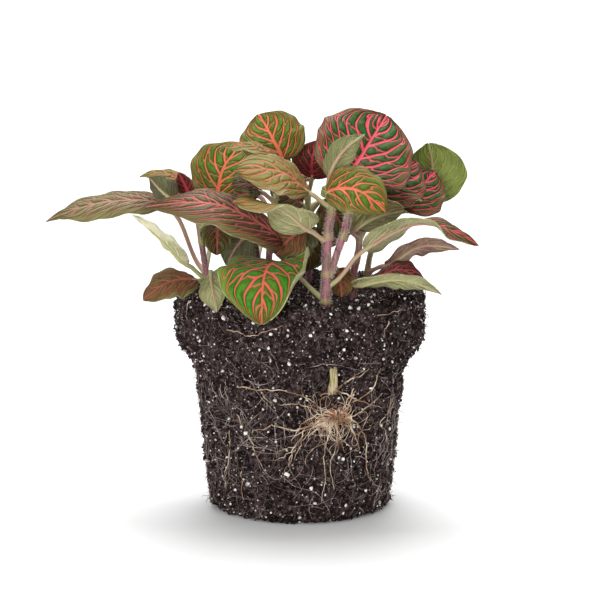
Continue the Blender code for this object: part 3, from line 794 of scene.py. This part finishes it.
stem_lines = {}
for name, (foot_radius, top_radius, points, nodes) in STEMS.items():
    line, radii = stem_run(foot_radius, top_radius, points, nodes, UP)
    stem_lines[name] = (line, radii)
    buried = [line[0] - UP * BURIED, line[0] - UP * 0.8 * MM]
    strands = [(buried + line, [radii[0]] * 2 + radii)]
    if name == "stem_main":
        stem_lines["fork"] = stem_run(*FORK, Vector((0.5, 0, 0.85)))
        strands.append(stem_lines["fork"])
    stem = strand_mesh("grown_" + name, strands, 6, STEM_SKIN)
    mark_stem(stem, nodes + FORK[3] if name == "stem_main" else nodes, YOUNG_FROM.get(name, 14))
    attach(stem, "root")
    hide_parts(name)


# ---------------------------------------------------------------- stem hairs
# Short white hairs that stand out all along the stems and catch the light at their edges.

# Hairs to each step along a stem, with more on the one in front
FRONT_HAIRS = 34
HAIRS = 12
HAIR_RADIUS = 0.042 * MM
HAIR_TIP = 0.01 * MM
HAIR_LENGTHS = (0.4, 0.95)


def hair_material():
    """White hair, greyer in patches."""
    material, shader, add = new_material("stem_hair", 0.6)
    patch = grain(add("TexCoord").outputs["Object"], 500)
    colour = blend(patch, (0.62, 0.55, 0.5), (0.9, 0.88, 0.84))
    material.node_tree.links.new(colour, shader.inputs["Base Color"])
    return material


chance = np.random.default_rng(61)
strands = []
for name, (line, radii) in stem_lines.items():
    per_step = FRONT_HAIRS if name in ("stem_main", "fork") else HAIRS
    for i in range(1, len(line) - 3):
        along = (line[i + 1] - line[i - 1]).normalized()
        aside = along.orthogonal().normalized()
        for _ in range(per_step):
            root = line[i].lerp(line[i + 1], chance.random())
            out = Quaternion(along, chance.uniform(0, 2 * math.pi)) @ aside
            lean = (out + along * chance.normal(0.1, 0.3)).normalized()
            start = root + out * radii[i] * 0.9
            end = start + lean * chance.uniform(*HAIR_LENGTHS) * MM
            strands.append(([start, end], (HAIR_RADIUS, HAIR_TIP)))
hairs = strand_mesh("stem_hairs", strands, 0, hair_material())
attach(hairs, "root")


# ---------------------------------------------------------------- leaves
# Each leaf grew as one piece: a round petiole that runs on under the blade as its midrib, and a
# thin quilted blade.  The veins are sunk and coral-pink above, raised and pale green below.

BLADE_THICKNESS = 0.42 * MM
PETIOLE_RADIUS = 0.8 * MM
# Steps from the joint to the start of the blade, and again from there to its tip
STATIONS = 60
# In mm between side veins, and between the branches that link them
RIB_SPACING = 6.0
LINK_SPACING = 4.8
VEIN_RELIEF = 0.45 * MM
FLUSH = (0.1, 0.018, 0.014)
# In mm: the grid, the narrowest half width, the swell of the fields, the groove of the midrib;
# and the waves of the margin as a share of the half width
MESH_STEP = 0.55
NARROWEST = 0.16
QUILTING = 0.46
MIDRIB_GROOVE = 0.3
WAVE = 0.07

# Upper sides: the green of the fields, its deeper shade, the veins, the halo round the veins,
# the margin, the thin edge line, how far in the margin starts, how plainly the cross veins
# show, and how much of the base is flushed dark red
UPPER_FINISHES = {
    "bright": ((0.06, 0.24, 0.014), (0.026, 0.13, 0.008), (0.74, 0.12, 0.1), (0.16, 0.19, 0.02),
               (0.14, 0.24, 0.03), (0.34, 0.42, 0.18), 0.84, 0.8, 0.1),
    "rich": ((0.024, 0.12, 0.016), (0.01, 0.05, 0.008), (0.8, 0.085, 0.13), (0.17, 0.08, 0.035),
             (0.17, 0.1, 0.045), (0.05, 0.065, 0.035), 0.86, 0.9, 0.2),
    "copper": ((0.2, 0.17, 0.035), (0.11, 0.15, 0.018), (0.46, 0.15, 0.07), (0.34, 0.12, 0.045),
               (0.24, 0.22, 0.08), (0.4, 0.36, 0.2), 0.84, 0.6, 0.25),
    "rose": ((0.11, 0.125, 0.04), (0.045, 0.055, 0.018), (0.54, 0.13, 0.11), (0.21, 0.08, 0.05),
             (0.15, 0.15, 0.05), (0.3, 0.28, 0.15), 0.84, 0.9, 0.75),
    "autumn": ((0.09, 0.19, 0.014), (0.045, 0.1, 0.008), (0.72, 0.15, 0.08), (0.19, 0.15, 0.025),
               (0.16, 0.17, 0.04), (0.1, 0.12, 0.05), 0.84, 0.5, 0.25),
    "faded": ((0.18, 0.17, 0.06), (0.09, 0.11, 0.03), (0.42, 0.2, 0.14), (0.25, 0.14, 0.08),
              (0.2, 0.2, 0.07), (0.3, 0.3, 0.14), 0.84, 0.5, 0.3),
    "russet": ((0.19, 0.12, 0.03), (0.09, 0.07, 0.02), (0.36, 0.1, 0.07), (0.2, 0.09, 0.04),
               (0.17, 0.15, 0.05), (0.3, 0.3, 0.14), 0.84, 0.6, 0.35),
    "wine": ((0.09, 0.05, 0.02), (0.04, 0.015, 0.012), (0.42, 0.05, 0.06), (0.2, 0.035, 0.03),
             (0.16, 0.09, 0.035), (0.2, 0.15, 0.08), 0.86, 0.9, 0.6),
    # the shade finish is painted shade: a darker copy of the green, for leaves deep in the crown
    "shade": ((0.06, 0.1, 0.02), (0.022, 0.04, 0.008), (0.26, 0.07, 0.045),
              (0.09, 0.06, 0.02), (0.12, 0.16, 0.035), (0.09, 0.11, 0.04), 0.82, 0.8, 0.3),
}
# Undersides: the flesh, its greener or duller patches, and the raised veins
UNDER_FINISHES = {
    "pale": ((0.34, 0.33, 0.15), (0.2, 0.21, 0.07), (0.48, 0.44, 0.26)),
    # the cream finish is painted light: a brighter copy of the pale underside, for a leaf turned to
    # the light
    "cream": ((0.6, 0.58, 0.38), (0.32, 0.33, 0.14), (0.68, 0.63, 0.44)),
    "sage": ((0.3, 0.29, 0.12), (0.18, 0.19, 0.055), (0.38, 0.36, 0.18)),
    "lime": ((0.2, 0.25, 0.035), (0.13, 0.17, 0.02), (0.3, 0.34, 0.08)),
    # the olive finish is painted shade: a darker copy of the pale underside, for leaves turned away
    # from the light
    "olive": ((0.11, 0.12, 0.04), (0.07, 0.045, 0.02), (0.18, 0.18, 0.075)),
    "dusky": ((0.3, 0.17, 0.11), (0.14, 0.06, 0.045), (0.38, 0.25, 0.17)),
}
# One row for each leaf of a stem, in the order of their numbers: the height of its joint; where
# the blade starts, its middle and its tip; its width; the way its upper side faces; how far the
# margins rise, as a share of the half width; the twist in degrees; and its two finishes
LEAVES = {
    "stem_main": [
        (2.5, (-6, -25, 13), (-11.5, -41, 12.5), (-12.6, -49.5, -3.5),
         32, (-0.18, -0.6, 0.8), 0.12, 0, "bright", "pale"),
        (6.8, (21.5, -32, 19), (39, -29.5, 27.5), (60, -25.5, 19),
         24, (0, 0.16, 0.99), -0.1, 84, "rich", "pale"),
        (22, (3, -36, 26), (-5.5, -39.5, 33.5), (-21.5, -43.5, 36.5),
         25, (0.3, 0.3, 0.9), -0.1, -70, "copper", "pale"),
        (33, (3, -30.5, 38), (-6, -33, 45), (-21.5, -36, 45.5),
         25, (0.2, -0.4, 0.88), -0.12, 0, "copper", "dusky"),
        (34.5, (9, -34.5, 38), (16.5, -37.5, 40), (28.2, -39.5, 32.5),
         20, (0.1, -0.75, 0.65), 0, 0, "autumn", "pale"),
        (31.5, (15.8, -25, 40), (21.5, -14.5, 49), (29.5, 1, 59.5),
         37, (0.3, -0.66, 0.68), 0.06, 0, "rich", "pale"),
        (34.8, (9.8, -28.5, 42.5), (13.5, -28.5, 50), (21.5, -26, 56.5),
         9, (0.3, 0.85, 0.3), 0.2, 0, "bright", "sage"),
        (8.5, (12.6, -24.6, 10.6), (13.6, -25.8, 6), (14, -27, 1.6),
         10, (0.1, -0.9, 0.3), 0, 0, "russet", "dusky"),
    ],
    "stem_left": [
        (9, (-45.5, -6, 29.5), (-67, -7, 31), (-86.5, -8, 24.5),
         20, (0, -0.28, 0.96), -0.05, 0, "faded", "olive"),
        (7, (-38, -22.5, 12.5), (-47, -22.5, 21.5), (-56, -21, 28.5),
         17, (0.6, 0.35, 0.7), 0.1, 0, "rose", "cream"),
        (4.2, (-35, -24.5, 7.2), (-43.5, -27.5, 7), (-52.5, -30, 1.2),
         18, (-0.2, -0.42, 0.88), -0.12, 0, "russet", "olive"),
        (6, (-29.5, -26, 9.5), (-29, -33.5, 6.5), (-27.6, -38.3, -1.5),
         12, (0.35, 0.6, -0.2), 0, 0, "rose", "sage"),
        (27, (-38.5, -9, 36.5), (-46, -6, 41), (-54.5, -5, 39.5),
         13, (0, -0.1, 1), -0.1, 0, "copper", "dusky"),
        (28, (-42, -18.5, 33.5), (-46.5, -19, 37), (-50.5, -18.5, 41),
         10, (0.3, 0.8, 0.5), 0.15, 0, "copper", "olive"),
        (24, (-28.5, -16.5, 25), (-28, -20, 21.5), (-28, -21.5, 15),
         11, (0.1, -0.85, 0.5), 0, 0, "shade", "olive"),
        (10, (-28.5, 1, 31), (-26.5, 6, 40.5), (-20, 12, 48.5),
         23, (-0.25, -0.8, 0.55), 0.05, 0, "autumn", "pale"),
    ],
    "stem_middle": [
        (18, (-7, -19.5, 20.5), (-29, -27.5, 33.5), (-51.5, -26, 32),
         24, (0, -0.4, 0.9), -0.08, 0, "rose", "olive"),
        (21, (-16, -6, 20), (-21, -4, 15), (-25, -3, 8.5),
         19, (0.5, 0.7, -0.2), 0, 0, "shade", "olive"),
        (26, (0, -14, 25), (-2.5, -15.5, 19), (-5, -16.5, 11.5),
         18, (0.3, 0.8, -0.3), 0, 0, "shade", "olive"),
        (32, (-13.5, -15, 36), (-17.5, -16.5, 38.5), (-23, -17.5, 38),
         14, (0.15, -0.35, 0.9), 0, 0, "shade", "olive"),
        (37, (-6.5, -18, 46), (-15, -18.5, 51.5), (-27, -18, 51.5),
         14, (0.1, -0.12, 1), -0.1, 0, "copper", "pale"),
        (38.5, (-6, -6.5, 45), (-9.5, -3, 52.5), (-14, 4, 59.5),
         23, (-0.05, -0.85, 0.5), 0.05, 0, "autumn", "pale"),
    ],
    "stem_right": [
        (2.8, (19, -27, 6), (33, -31.5, 9), (47.5, -28.5, 3),
         16, (-0.1, 0.45, 0.87), -0.1, 0, "wine", "pale"),
        (4.5, (25.5, -16, 6.5), (33, -17.5, 9.5), (42, -18.5, 5.5),
         17, (0.05, -0.3, 0.95), -0.1, 0, "wine", "dusky"),
        (20, (17.5, -22, 23.5), (24, -23, 28), (35, -21, 30),
         20, (-0.2, 0.6, 0.75), 0, 0, "rich", "sage"),
        (26, (25, -13.5, 32.5), (31, -8, 38.5), (40, 0, 43.5),
         25, (0.1, -0.75, 0.62), 0.04, 0, "rich", "pale"),
    ],
    "stem_right_back": [
        (5.5, (29.5, -3.5, 9), (40, -3.5, 15.5), (54.5, -2.5, 14),
         16, (-0.1, 0.5, 0.85), -0.1, 0, "wine", "dusky"),
        (21, (35, 0.5, 28), (40.5, 4, 33.5), (46.5, 9.5, 39),
         21, (0.25, -0.7, 0.65), 0.04, 0, "rich", "pale"),
        (25, (44, 13, 29), (46, 15.5, 37.5), (44.5, 15.5, 48),
         23, (0.15, 0.9, 0.25), 0.05, 0, "bright", "lime"),
        (17, (27, 14, 23), (36, 22, 26), (46, 31, 23),
         18, (0, -0.1, 1), -0.1, 0, "rich", "pale"),
    ],
    "stem_back_left": [
        (22, (-22, 19, 27), (-30, 29, 31), (-38, 40, 27),
         22, (0, 0.1, 1), -0.12, 0, "autumn", "pale"),
        (8, (-14, 21, 12), (-18, 32, 14.5), (-22, 44, 8.5),
         19, (0, 0.15, 1), -0.1, 0, "rose", "olive"),
        (19, (-33, 6, 26), (-45, 12.5, 31), (-57, 20, 27.5),
         18, (0, -0.05, 1), -0.1, 0, "rich", "pale"),
    ],
    "stem_back": [
        (29, (-3, 23, 33), (-6, 35, 37), (-9, 48, 31.5),
         24, (0, 0.1, 1), -0.12, 0, "rich", "pale"),
        (26, (11, 22, 28), (18, 33, 31.5), (25, 44, 26),
         21, (0.05, 0.15, 1), -0.12, 0, "bright", "pale"),
        (7, (5, 24, 10), (7, 35, 13), (9, 47, 7),
         20, (0, 0.15, 1), -0.1, 0, "rose", "olive"),
        (31.5, (4, 2, 38), (4, -2.5, 44), (5.5, -1, 51),
         15, (-0.2, -0.85, 0.35), 0, 0, "wine", "dusky"),
    ],
}
# The leaf whose joint is on the fork of the main stem
FORK_LEAF = "leaf_main_6"
# Small young leaves low on the shoots, in the shade of the crown, each with its stem first; most
# wear the dark finishes that paint that shade
YOUNG_LEAVES = [
    ("stem_back", 20, (-2, 6, 24), (-5, 3, 20), (-9, 1, 12),
     15, (-0.1, -0.9, 0.4), 0, 0, "shade", "olive"),
    ("stem_back", 24, (8, 8, 29), (12, 5, 25), (16, 3, 17),
     15, (0.1, -0.9, 0.4), 0, 0, "shade", "olive"),
    ("stem_back", 30, (-4, 7, 36), (-8, 4, 40), (-13, 3, 45),
     16, (0.2, -0.8, 0.55), 0, 0, "wine", "olive"),
    ("stem_middle", 28, (-14, -6, 33), (-20, -3, 33), (-27, -1, 28),
     16, (-0.1, -0.6, 0.8), 0, 0, "shade", "olive"),
    ("stem_main", 21, (2, -25, 24), (-3, -22, 21), (-8, -20, 14.5),
     13, (0.2, -0.8, 0.5), 0, 0, "russet", "dusky"),
    ("stem_left", 27, (-37.5, -13, 34), (-39, -14, 38), (-41, -14, 42),
     6, (-0.3, -0.8, 0.5), 0.3, 0, "wine", "dusky"),
    ("stem_back", 12, (4, 8, 20), (3, 4, 14), (1, 0, 6),
     16, (0, -0.9, 0.35), 0, 0, "shade", "olive"),
    ("stem_back", 22, (1, 9, 28), (-3, 7, 30.5), (-10, 4, 32.5),
     16, (0.1, -0.75, 0.6), 0, 0, "shade", "olive"),
    ("stem_right", 20, (24, -9, 26), (27, -5, 30), (31, -2, 34),
     15, (0, -0.8, 0.5), 0, 0, "shade", "olive"),
]
# Margins that roll: the side, where across the half width the roll starts, and degrees
ROLLED_MARGINS = {
    "leaf_main_1": [(1, 0.74, 135), (-1, 0.8, -35)],
    "leaf_main_2": [(1, 0.6, 30), (-1, 0.6, 30)],
    "leaf_main_6": [(1, 0.7, -50), (-1, 0.75, -40)],
    "leaf_left_1": [(1, 0.6, -60), (-1, 0.7, -30)],
    "leaf_middle_1": [(1, 0.7, -55), (-1, 0.7, -35)],
    "leaf_left_6": [(1, 0.5, 90)],
}


def vein_gap(add, widen, links):
    """How far in mm a point is from the edge of the nearest vein, with how far out it is from
    the midrib and how far along; below zero it is on a vein."""
    rib_map = add("UVMap", uv_map="ribs").outputs[0]
    ribs = add("SeparateXYZ", {0: rib_map}).outputs
    blade = add("SeparateXYZ", {0: add("UVMap", uv_map="UVMap").outputs[0]}).outputs
    across = add("Attribute", attribute_name="across_mm").outputs["Fac"]
    share = maths("ABSOLUTE", maths("MULTIPLY_ADD", blade[1], 2.0, -1.0))
    within = maths("FRACT", ribs[0])
    turn = maths("ABSOLUTE", maths("SUBTRACT", within, 0.5))
    to_rib = maths("MULTIPLY", maths("SUBTRACT", 0.5, turn), RIB_SPACING * 0.85)
    rib = maths("SUBTRACT", to_rib, fade(share, 0, 1, 0.5 * widen, 0.2 * widen))
    mid = maths("SUBTRACT", maths("ABSOLUTE", across),
                fade(blade[0], 0, 1, 0.62 * widen, 0.2 * widen))
    # branches that slant across each strip between two side veins, set off at random
    strip = add("TexWhiteNoise", {"W": maths("FLOOR", ribs[0])}, noise_dimensions="1D")
    stray = add("TexNoise", {"Vector": rib_map, "Scale": 1.7, "Detail": 1},
                noise_dimensions="2D").outputs["Fac"]
    ladder = maths("ADD", ribs[1], maths("MULTIPLY", within, 1.5))
    ladder = maths("ADD", ladder, strip.outputs["Value"])
    ladder = maths("ADD", ladder, maths("MULTIPLY", stray, 0.45))
    rung = maths("ABSOLUTE", maths("SUBTRACT", maths("FRACT", ladder), 0.5))
    rung = maths("MULTIPLY", maths("SUBTRACT", 0.5, rung), LINK_SPACING * 0.7)
    thick = maths("MULTIPLY", fade(stray, 0.35, 0.55, 0.3, 1),
                  fade(within, 0, 1, 0.05 * widen * links, 0.24 * widen * links))
    rung = maths("SUBTRACT", rung, thick)
    return maths("MINIMUM", maths("MINIMUM", rib, mid), rung), share, blade[0]


def upper_material(name, field, deep, vein, halo, margin, edge_line, margin_start, links,
                   flush):
    """The shiny side: mottled green fields between coral veins with a soft halo."""
    material, shader, add = new_material(name, 0.43)
    place = add("TexCoord").outputs["Object"]
    gap, share, along = vein_gap(add, 1.0, links)
    broad = grain(place, 110)
    mottle = grain(place, 620, 3, 0.65)
    colour = blend(fade(gap, 0.2, 1.6), deep, field)
    colour = blend(fade(mottle, 0.48, 0.64, 0, 0.6), colour, deep)
    colour = blend(fade(mottle, 0.5, 0.36, 0, 0.35), colour, halo)
    colour = blend(fade(broad, 0.5, 0.75, 0, 0.5), colour, halo)
    colour = blend(fade(along, 0.1, 0.6, flush, 0), colour, FLUSH)
    edge = fade(share, margin_start - 0.12, min(margin_start + 0.06, 0.99))
    colour = blend(edge, colour, margin)
    colour = blend(fade(gap, 0.0, 0.5, 0.6, 0), colour, halo)
    strength = maths("MULTIPLY", fade(gap, -0.12, 0.2, 1, 0),
                     fade(share, margin_start - 0.02, 0.99, 1, 0.25))
    strength = maths("MULTIPLY", strength, fade(broad, 0.25, 0.5, 0.8, 1))
    colour = blend(strength, colour, vein)
    colour = blend(fade(share, 0.965, 0.985), colour, edge_line)
    height = maths("MULTIPLY_ADD", grain(place, 2600), 0.25, fade(gap, -0.2, 0.7))
    shader.inputs["Specular IOR Level"].default_value = 0.13
    return finish_material(material, shader, colour, height, 0.9, VEIN_RELIEF)


def under_material(name, flesh, patch, vein):
    """The dull side: pale downy flesh with raised veins."""
    material, shader, add = new_material(name, 0.58)
    place = add("TexCoord").outputs["Object"]
    gap, _, _ = vein_gap(add, 0.62, 0.8)
    fuzz = grain(place, 4200)
    colour = blend(fade(grain(place, 130, 3), 0.38, 0.66), flesh, patch)
    colour = blend(fade(gap, -0.1, 0.35, 1, 0), colour, vein)
    colour = blend(fade(fuzz, 0.55, 0.8, 0, 0.35), colour, vein)
    height = maths("MULTIPLY_ADD", fuzz, 0.3, fade(gap, -0.2, 0.5, 1, 0))
    return finish_material(material, shader, colour, height, 0.9, VEIN_RELIEF)


def petiole_material():
    """Soft downy skin, green with a brown-pink flush in patches."""
    material, shader, add = new_material("petiole", 0.5)
    place = add("TexCoord").outputs["Object"]
    fuzz = grain(place, 1900, 3)
    colour = blend(fade(grain(place, 70), 0.42, 0.6), (0.36, 0.36, 0.15), (0.42, 0.23, 0.17))
    colour = blend(fade(fuzz, 0.5, 0.75, 0, 0.45), colour, (0.6, 0.5, 0.38))
    return finish_material(material, shader, colour, fuzz, 0.4, 0.2 * MM)


UPPER = {name: upper_material("upper_" + name, *row) for name, row in UPPER_FINISHES.items()}
UNDER = {name: under_material("under_" + name, *row) for name, row in UNDER_FINISHES.items()}
PETIOLE = petiole_material()


def stem_at(stem_name, height):
    """The stem's centre and its half width, measured level, at a height above the soil."""
    line, radii = stem_lines[stem_name]
    level = SOIL + height * MM
    for low, high, radius in zip(line, line[1:], radii):
        if high.z >= level:
            return low.lerp(high, (level - low.z) / (high.z - low.z)), radius
    raise ValueError(stem_name + " is shorter than " + str(height) + " mm")


def blade_outline(share, slimness):
    """Half width along the blade as a share of its widest; a slim blade has a longer point."""
    pointed = min(max(slimness - 1, 0), 1)
    return np.sin(np.pi * share ** 0.85) ** (0.52 + (0.08 + 0.45 * pointed) * share)


def midrib_frames(joint, leaving, base, middle, tip, facing, twist):
    """Stations from -1 at the joint to 1 at the tip, with the blade's side and upward normal."""
    knots = [joint, base, middle, tip]
    chords, slopes = slopes_through(knots, leaving)
    turn_share = chords[1] / (chords[1] + chords[2])
    stations = []
    for step in range(-STATIONS, STATIONS + 1):
        share = step / STATIONS
        if share <= 0:
            stations.append(between(knots, chords, slopes, 0, share + 1))
        elif share <= turn_share:
            stations.append(between(knots, chords, slopes, 1, share / turn_share))
        else:
            stations.append(between(knots, chords, slopes, 2,
                                    min((share - turn_share) / (1 - turn_share), 1)))
    last = len(stations) - 1
    tangents = [(stations[min(i + 1, last)] - stations[max(i - 1, 0)]).normalized()
                for i in range(last + 1)]
    normals = {}
    halfway = STATIONS + STATIONS // 2
    for order in (range(halfway, last + 1), range(halfway, -1, -1)):
        normal = Vector(facing)
        for i in order:
            normal = (normal - tangents[i] * normal.dot(tangents[i])).normalized()
            normals[i] = normal
    frames = []
    for i, tangent in enumerate(tangents):
        share = max(0, (i - STATIONS) / STATIONS)
        turned = Quaternion(tangent, math.radians(twist) * (share - 0.5)) @ normals[i]
        frames.append((turned.cross(tangent), turned))
    return stations, frames


def at_shares(rows, shares):
    """Rows given at the stations, read off at any shares from -1 to 1."""
    rows = np.array([list(row) for row in rows])
    place = (np.asarray(shares) + 1) * STATIONS
    steps = np.arange(len(rows))
    return np.stack([np.interp(place, steps, rows[:, k]) for k in range(3)], axis=-1)


def soft_noise(x, y, seed):
    """Smooth random heights over a grid of places."""
    flat = [noise.noise((a, b, seed)) for a, b in zip(x.ravel(), y.ravel())]
    return np.array(flat).reshape(x.shape)


def make_blade(name, stations, frames, half, length, rise, seed, finishes):
    """The blade: a flat grid laid on the midrib's frames, quilted, rolled and given its body."""
    slimness = length / (2 * half)
    rows = max(24, round(length / MESH_STEP))
    columns = 2 * max(8, round(half / MESH_STEP))
    bpy.ops.mesh.primitive_grid_add(x_subdivisions=rows, y_subdivisions=columns, size=2)
    blade = named(name)
    flat = mesh_points(blade)
    step = np.linspace(0, 1, rows + 1)
    u = (0.55 * step + 0.45 * (1 - np.cos(np.pi * step)) / 2)[:, None]
    v = np.linspace(-1, 1, columns + 1)[None]
    u, v = np.broadcast_arrays(u, v)
    share = np.abs(v)
    width = half * blade_outline(np.clip(u, 0, 0.9995), slimness)
    uneven = 0.04 * np.sin(u * 9 + seed * 2 + np.sign(v)) + 0.02 * np.sin(u * 24 + seed - np.sign(v))
    width = np.maximum(width * (1 + uneven), NARROWEST)
    # side veins climb towards the tip as they leave the midrib
    climb = half / length * (1 + 0.75 * min(max(slimness - 1.5, 0), 1.3))
    ribs = max(4.5, length / RIB_SPACING)
    wobble = 0.16 * soft_noise(u * length * 0.16, v * half * 0.16, seed)
    left = (u - climb * (share + 0.5 * share ** 3)) * ribs + wobble
    right = left + 0.37 + 0.1 * soft_noise(u * length * 0.1, v * 0, seed + 9)
    out = share * width * 1.25 / LINK_SPACING + 0.3 * soft_noise(u * 4, v * 4, seed + 5)
    # the section across the blade, rolled where its margin rolls
    run, lift, roll = np.zeros((3, *v.shape))
    for side, start, degrees in ROLLED_MARGINS.get(name[6:], []):
        part = np.clip((v * side - start) / (1 - start), 0, 1)
        roll = roll + side * math.radians(degrees) * part ** 1.3 * np.sin(np.pi * u ** 0.8) ** 0.5
    middle = columns // 2
    gaps = width * (2 / columns)
    for order in (range(middle + 1, columns + 1), range(middle - 1, -1, -1)):
        towards = 1 if order.step > 0 else -1
        for j in order:
            run[:, j] = run[:, j - towards] + towards * gaps[:, j] * np.cos(roll[:, j])
            lift[:, j] = lift[:, j - towards] + towards * gaps[:, j] * np.sin(roll[:, j])
    lift += rise * width * v ** 2
    phase = seed * 2.4 + np.where(v > 0, 0, 1.9)
    wave = np.sin(u * (11 + 3 * math.sin(seed)) + phase) + 0.6 * np.sin(u * 23 + phase * 1.7)
    lift += WAVE * half * wave * share ** 3 * np.sin(np.pi * u)
    centre = at_shares(stations, u[:, 0])
    across, normal = (at_shares([frame[k] for frame in frames], u[:, 0]) for k in (0, 1))
    points = (centre[:, None] + across[:, None] * (run * MM)[..., None]
              + normal[:, None] * (lift * MM)[..., None])
    # quilting: the fields swell between the veins, and the midrib lies in a groove
    sided = np.where(v > 0, right, left)
    pillow = np.abs(np.sin(np.pi * sided)) ** 0.7 * np.abs(np.sin(np.pi * out * 0.9 + 0.4)) ** 0.35
    relief = QUILTING * pillow * np.clip(share * 5, 0, 1) * (1 - share ** 8)
    relief -= MIDRIB_GROOVE * np.exp(-(v * width / 0.9) ** 2) * (1 - u) ** 0.5
    relief += 0.2 * soft_noise(u * length * 0.3, v * half * 0.3, seed + 3)
    facing = np.cross(np.gradient(points, axis=0), np.gradient(points, axis=1))
    facing /= np.maximum(np.linalg.norm(facing, axis=2, keepdims=True), 1e-12)
    fine_share = np.clip(width / 3, 0, 1)
    points = points + facing * (relief * fine_share * MM)[..., None]
    i = np.rint((flat[:, 0] + 1) / 2 * rows).astype(int)
    j = np.rint((flat[:, 1] + 1) / 2 * columns).astype(int)
    put_points(blade, points[i, j])
    mesh = blade.data
    corner = np.empty(len(mesh.loops), int)
    mesh.loops.foreach_get("vertex_index", corner)
    owner = np.repeat(np.arange(len(mesh.polygons)), 4)
    is_right = j[corner].reshape(-1, 4).mean(1)[owner] > middle
    ci, cj = i[corner], j[corner]
    rib = np.where(is_right, right[ci, cj], left[ci, cj]) + round(seed) * 3
    link = out[ci, cj] + np.where(is_right, 20, 0)
    mesh.uv_layers.new(name="ribs")
    mesh.uv_layers["ribs"].data.foreach_set("uv", np.stack([rib, link], 1).ravel())
    mesh.uv_layers["UVMap"].data.foreach_set(
        "uv", np.stack([u[ci, cj], v[ci, cj] / 2 + 0.5], 1).ravel())
    note_points(blade, "across_mm", (v * width)[i, j])
    for finish in finishes:
        mesh.materials.append(finish)
    solid = blade.modifiers.new("thickness", "SOLIDIFY")
    solid.thickness = BLADE_THICKNESS
    solid.offset = -1
    solid.material_offset = 1
    solid.material_offset_rim = 1
    bpy.context.view_layer.objects.active = blade
    bpy.ops.object.modifier_apply(modifier="thickness")
    bpy.ops.object.shade_smooth()
    blade.select_set(False)
    return blade


def make_petiole(root, stations, frames):
    """The stalk from inside the stem, which thins out under the blade as its midrib."""
    shares = np.concatenate([np.linspace(-1, 0, 15), np.linspace(0.04, 0.93, 22)])
    line = at_shares(stations, shares)
    normal = at_shares([frame[1] for frame in frames], shares)
    thick = np.interp(shares, [-1, -0.93, -0.7, -0.1, 0.05, 0.93], [1.25, 1.1, 0.92, 1, 0.95, 0.2])
    # the stalk eases down before the blade, and then runs under it with its top just inside
    before = np.interp(shares, [-0.3, 0.03], [0, 0.72])
    under = thick * 0.8 + 0.1 + 0.34 * np.sqrt(np.clip(1 - shares, 0, 1))
    drop = np.where(shares > 0, under * np.clip(shares * 16, 0.5, 1), before) * MM
    line = line - normal * drop[:, None]
    points = [root] + [Vector(point) for point in line]
    radii = np.concatenate([[1.3], thick]) * PETIOLE_RADIUS
    return strand_mesh("stalk", [(points, radii)], 3, PETIOLE)


def grow_leaf(name, stem_name, height, base, middle, tip, width, facing, rise, twist,
              upper, under, seed):
    """A blade and its stalk, which leaves the stem outwards and a little upwards."""
    base, middle, tip = crown_point(base), crown_point(middle), crown_point(tip)
    centre, stem_radius = stem_at(stem_name, height)
    outwards = Vector((base.x - centre.x, base.y - centre.y, 0)).normalized()
    leaving = (outwards + UP * 0.6).normalized()
    joint = centre + outwards * stem_radius
    length = ((middle - base).length + (tip - middle).length) / MM
    stations, frames = midrib_frames(joint, leaving, base, middle, tip, facing, twist)
    blade = make_blade("grown_" + name, stations, frames, width / 2, length, rise, seed,
                       (UPPER[upper], UNDER[under]))
    return blade, make_petiole(centre, stations, frames)


crown = [(stem.replace("stem", "leaf") + "_" + str(count), stem, *row)
         for stem, rows in LEAVES.items() for count, row in enumerate(rows, 1)]
crown += [("young_leaf_" + str(count), *row) for count, row in enumerate(YOUNG_LEAVES, 1)]
for number, (name, stem, *row) in enumerate(crown):
    leaf, stalk = grow_leaf(name, "fork" if name == FORK_LEAF else stem, *row, seed=number + 1.5)
    leaf.select_set(True)
    stalk.select_set(True)
    bpy.context.view_layer.objects.active = leaf
    bpy.ops.object.join()
    leaf.select_set(False)
    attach(leaf, "root")
    if name.startswith("young"):
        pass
    else:
        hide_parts(name)


# ---------------------------------------------------------------- studio
# A white floor under soft light from above, and the camera a little above the crown.

bpy.ops.mesh.primitive_plane_add(size=6, location=(0, 1.2, 0))
floor = bpy.context.active_object
floor.name = "studio_floor"
paper, paper_shader, _ = new_material("white_paper", 0.85)
paper_shader.inputs["Base Color"].default_value = (0.9, 0.9, 0.9, 1)
floor.data.materials.append(paper)

world = bpy.data.worlds.new("white_surround")
bpy.context.scene.world = world
world.use_nodes = True
world.node_tree.nodes["Background"].inputs["Color"].default_value = (1, 1, 1, 1)
world.node_tree.nodes["Background"].inputs["Strength"].default_value = 0.58


def soft_box(name, place, target, size, power):
    light = bpy.data.lights.new(name, "AREA")
    light.size = size
    light.energy = power
    lamp = bpy.data.objects.new(name, light)
    lamp.location = place
    lamp.rotation_euler = (Vector(target) - Vector(place)).to_track_quat("-Z", "Y").to_euler()
    bpy.context.scene.collection.objects.link(lamp)


soft_box("top_light", (0, 0.2, 0.95), (0, 0, 0.05), 0.55, 7.5)
soft_box("back_light", (0, 1.5, 1.3), (0, 1.5, 0), 1.6, 20)
soft_box("front_light", (-0.5, -1.6, 0.36), (0, 0, 0.08), 0.7, 15)

CAMERA_PLACE = (0, -1.15, 0.276)
CAMERA_TARGET = Vector((0, 0, 0.0718))
LENS = 203.7

camera = bpy.data.objects.new("camera", bpy.data.cameras.new("camera"))
camera.data.lens = LENS
camera.data.sensor_width = 36
camera.data.clip_start = 0.05
camera.location = CAMERA_PLACE
camera.rotation_euler = (CAMERA_TARGET - camera.location).to_track_quat("-Z", "Y").to_euler()
bpy.context.scene.collection.objects.link(camera)
bpy.context.scene.camera = camera
bpy.context.scene.view_settings.view_transform = "Standard"
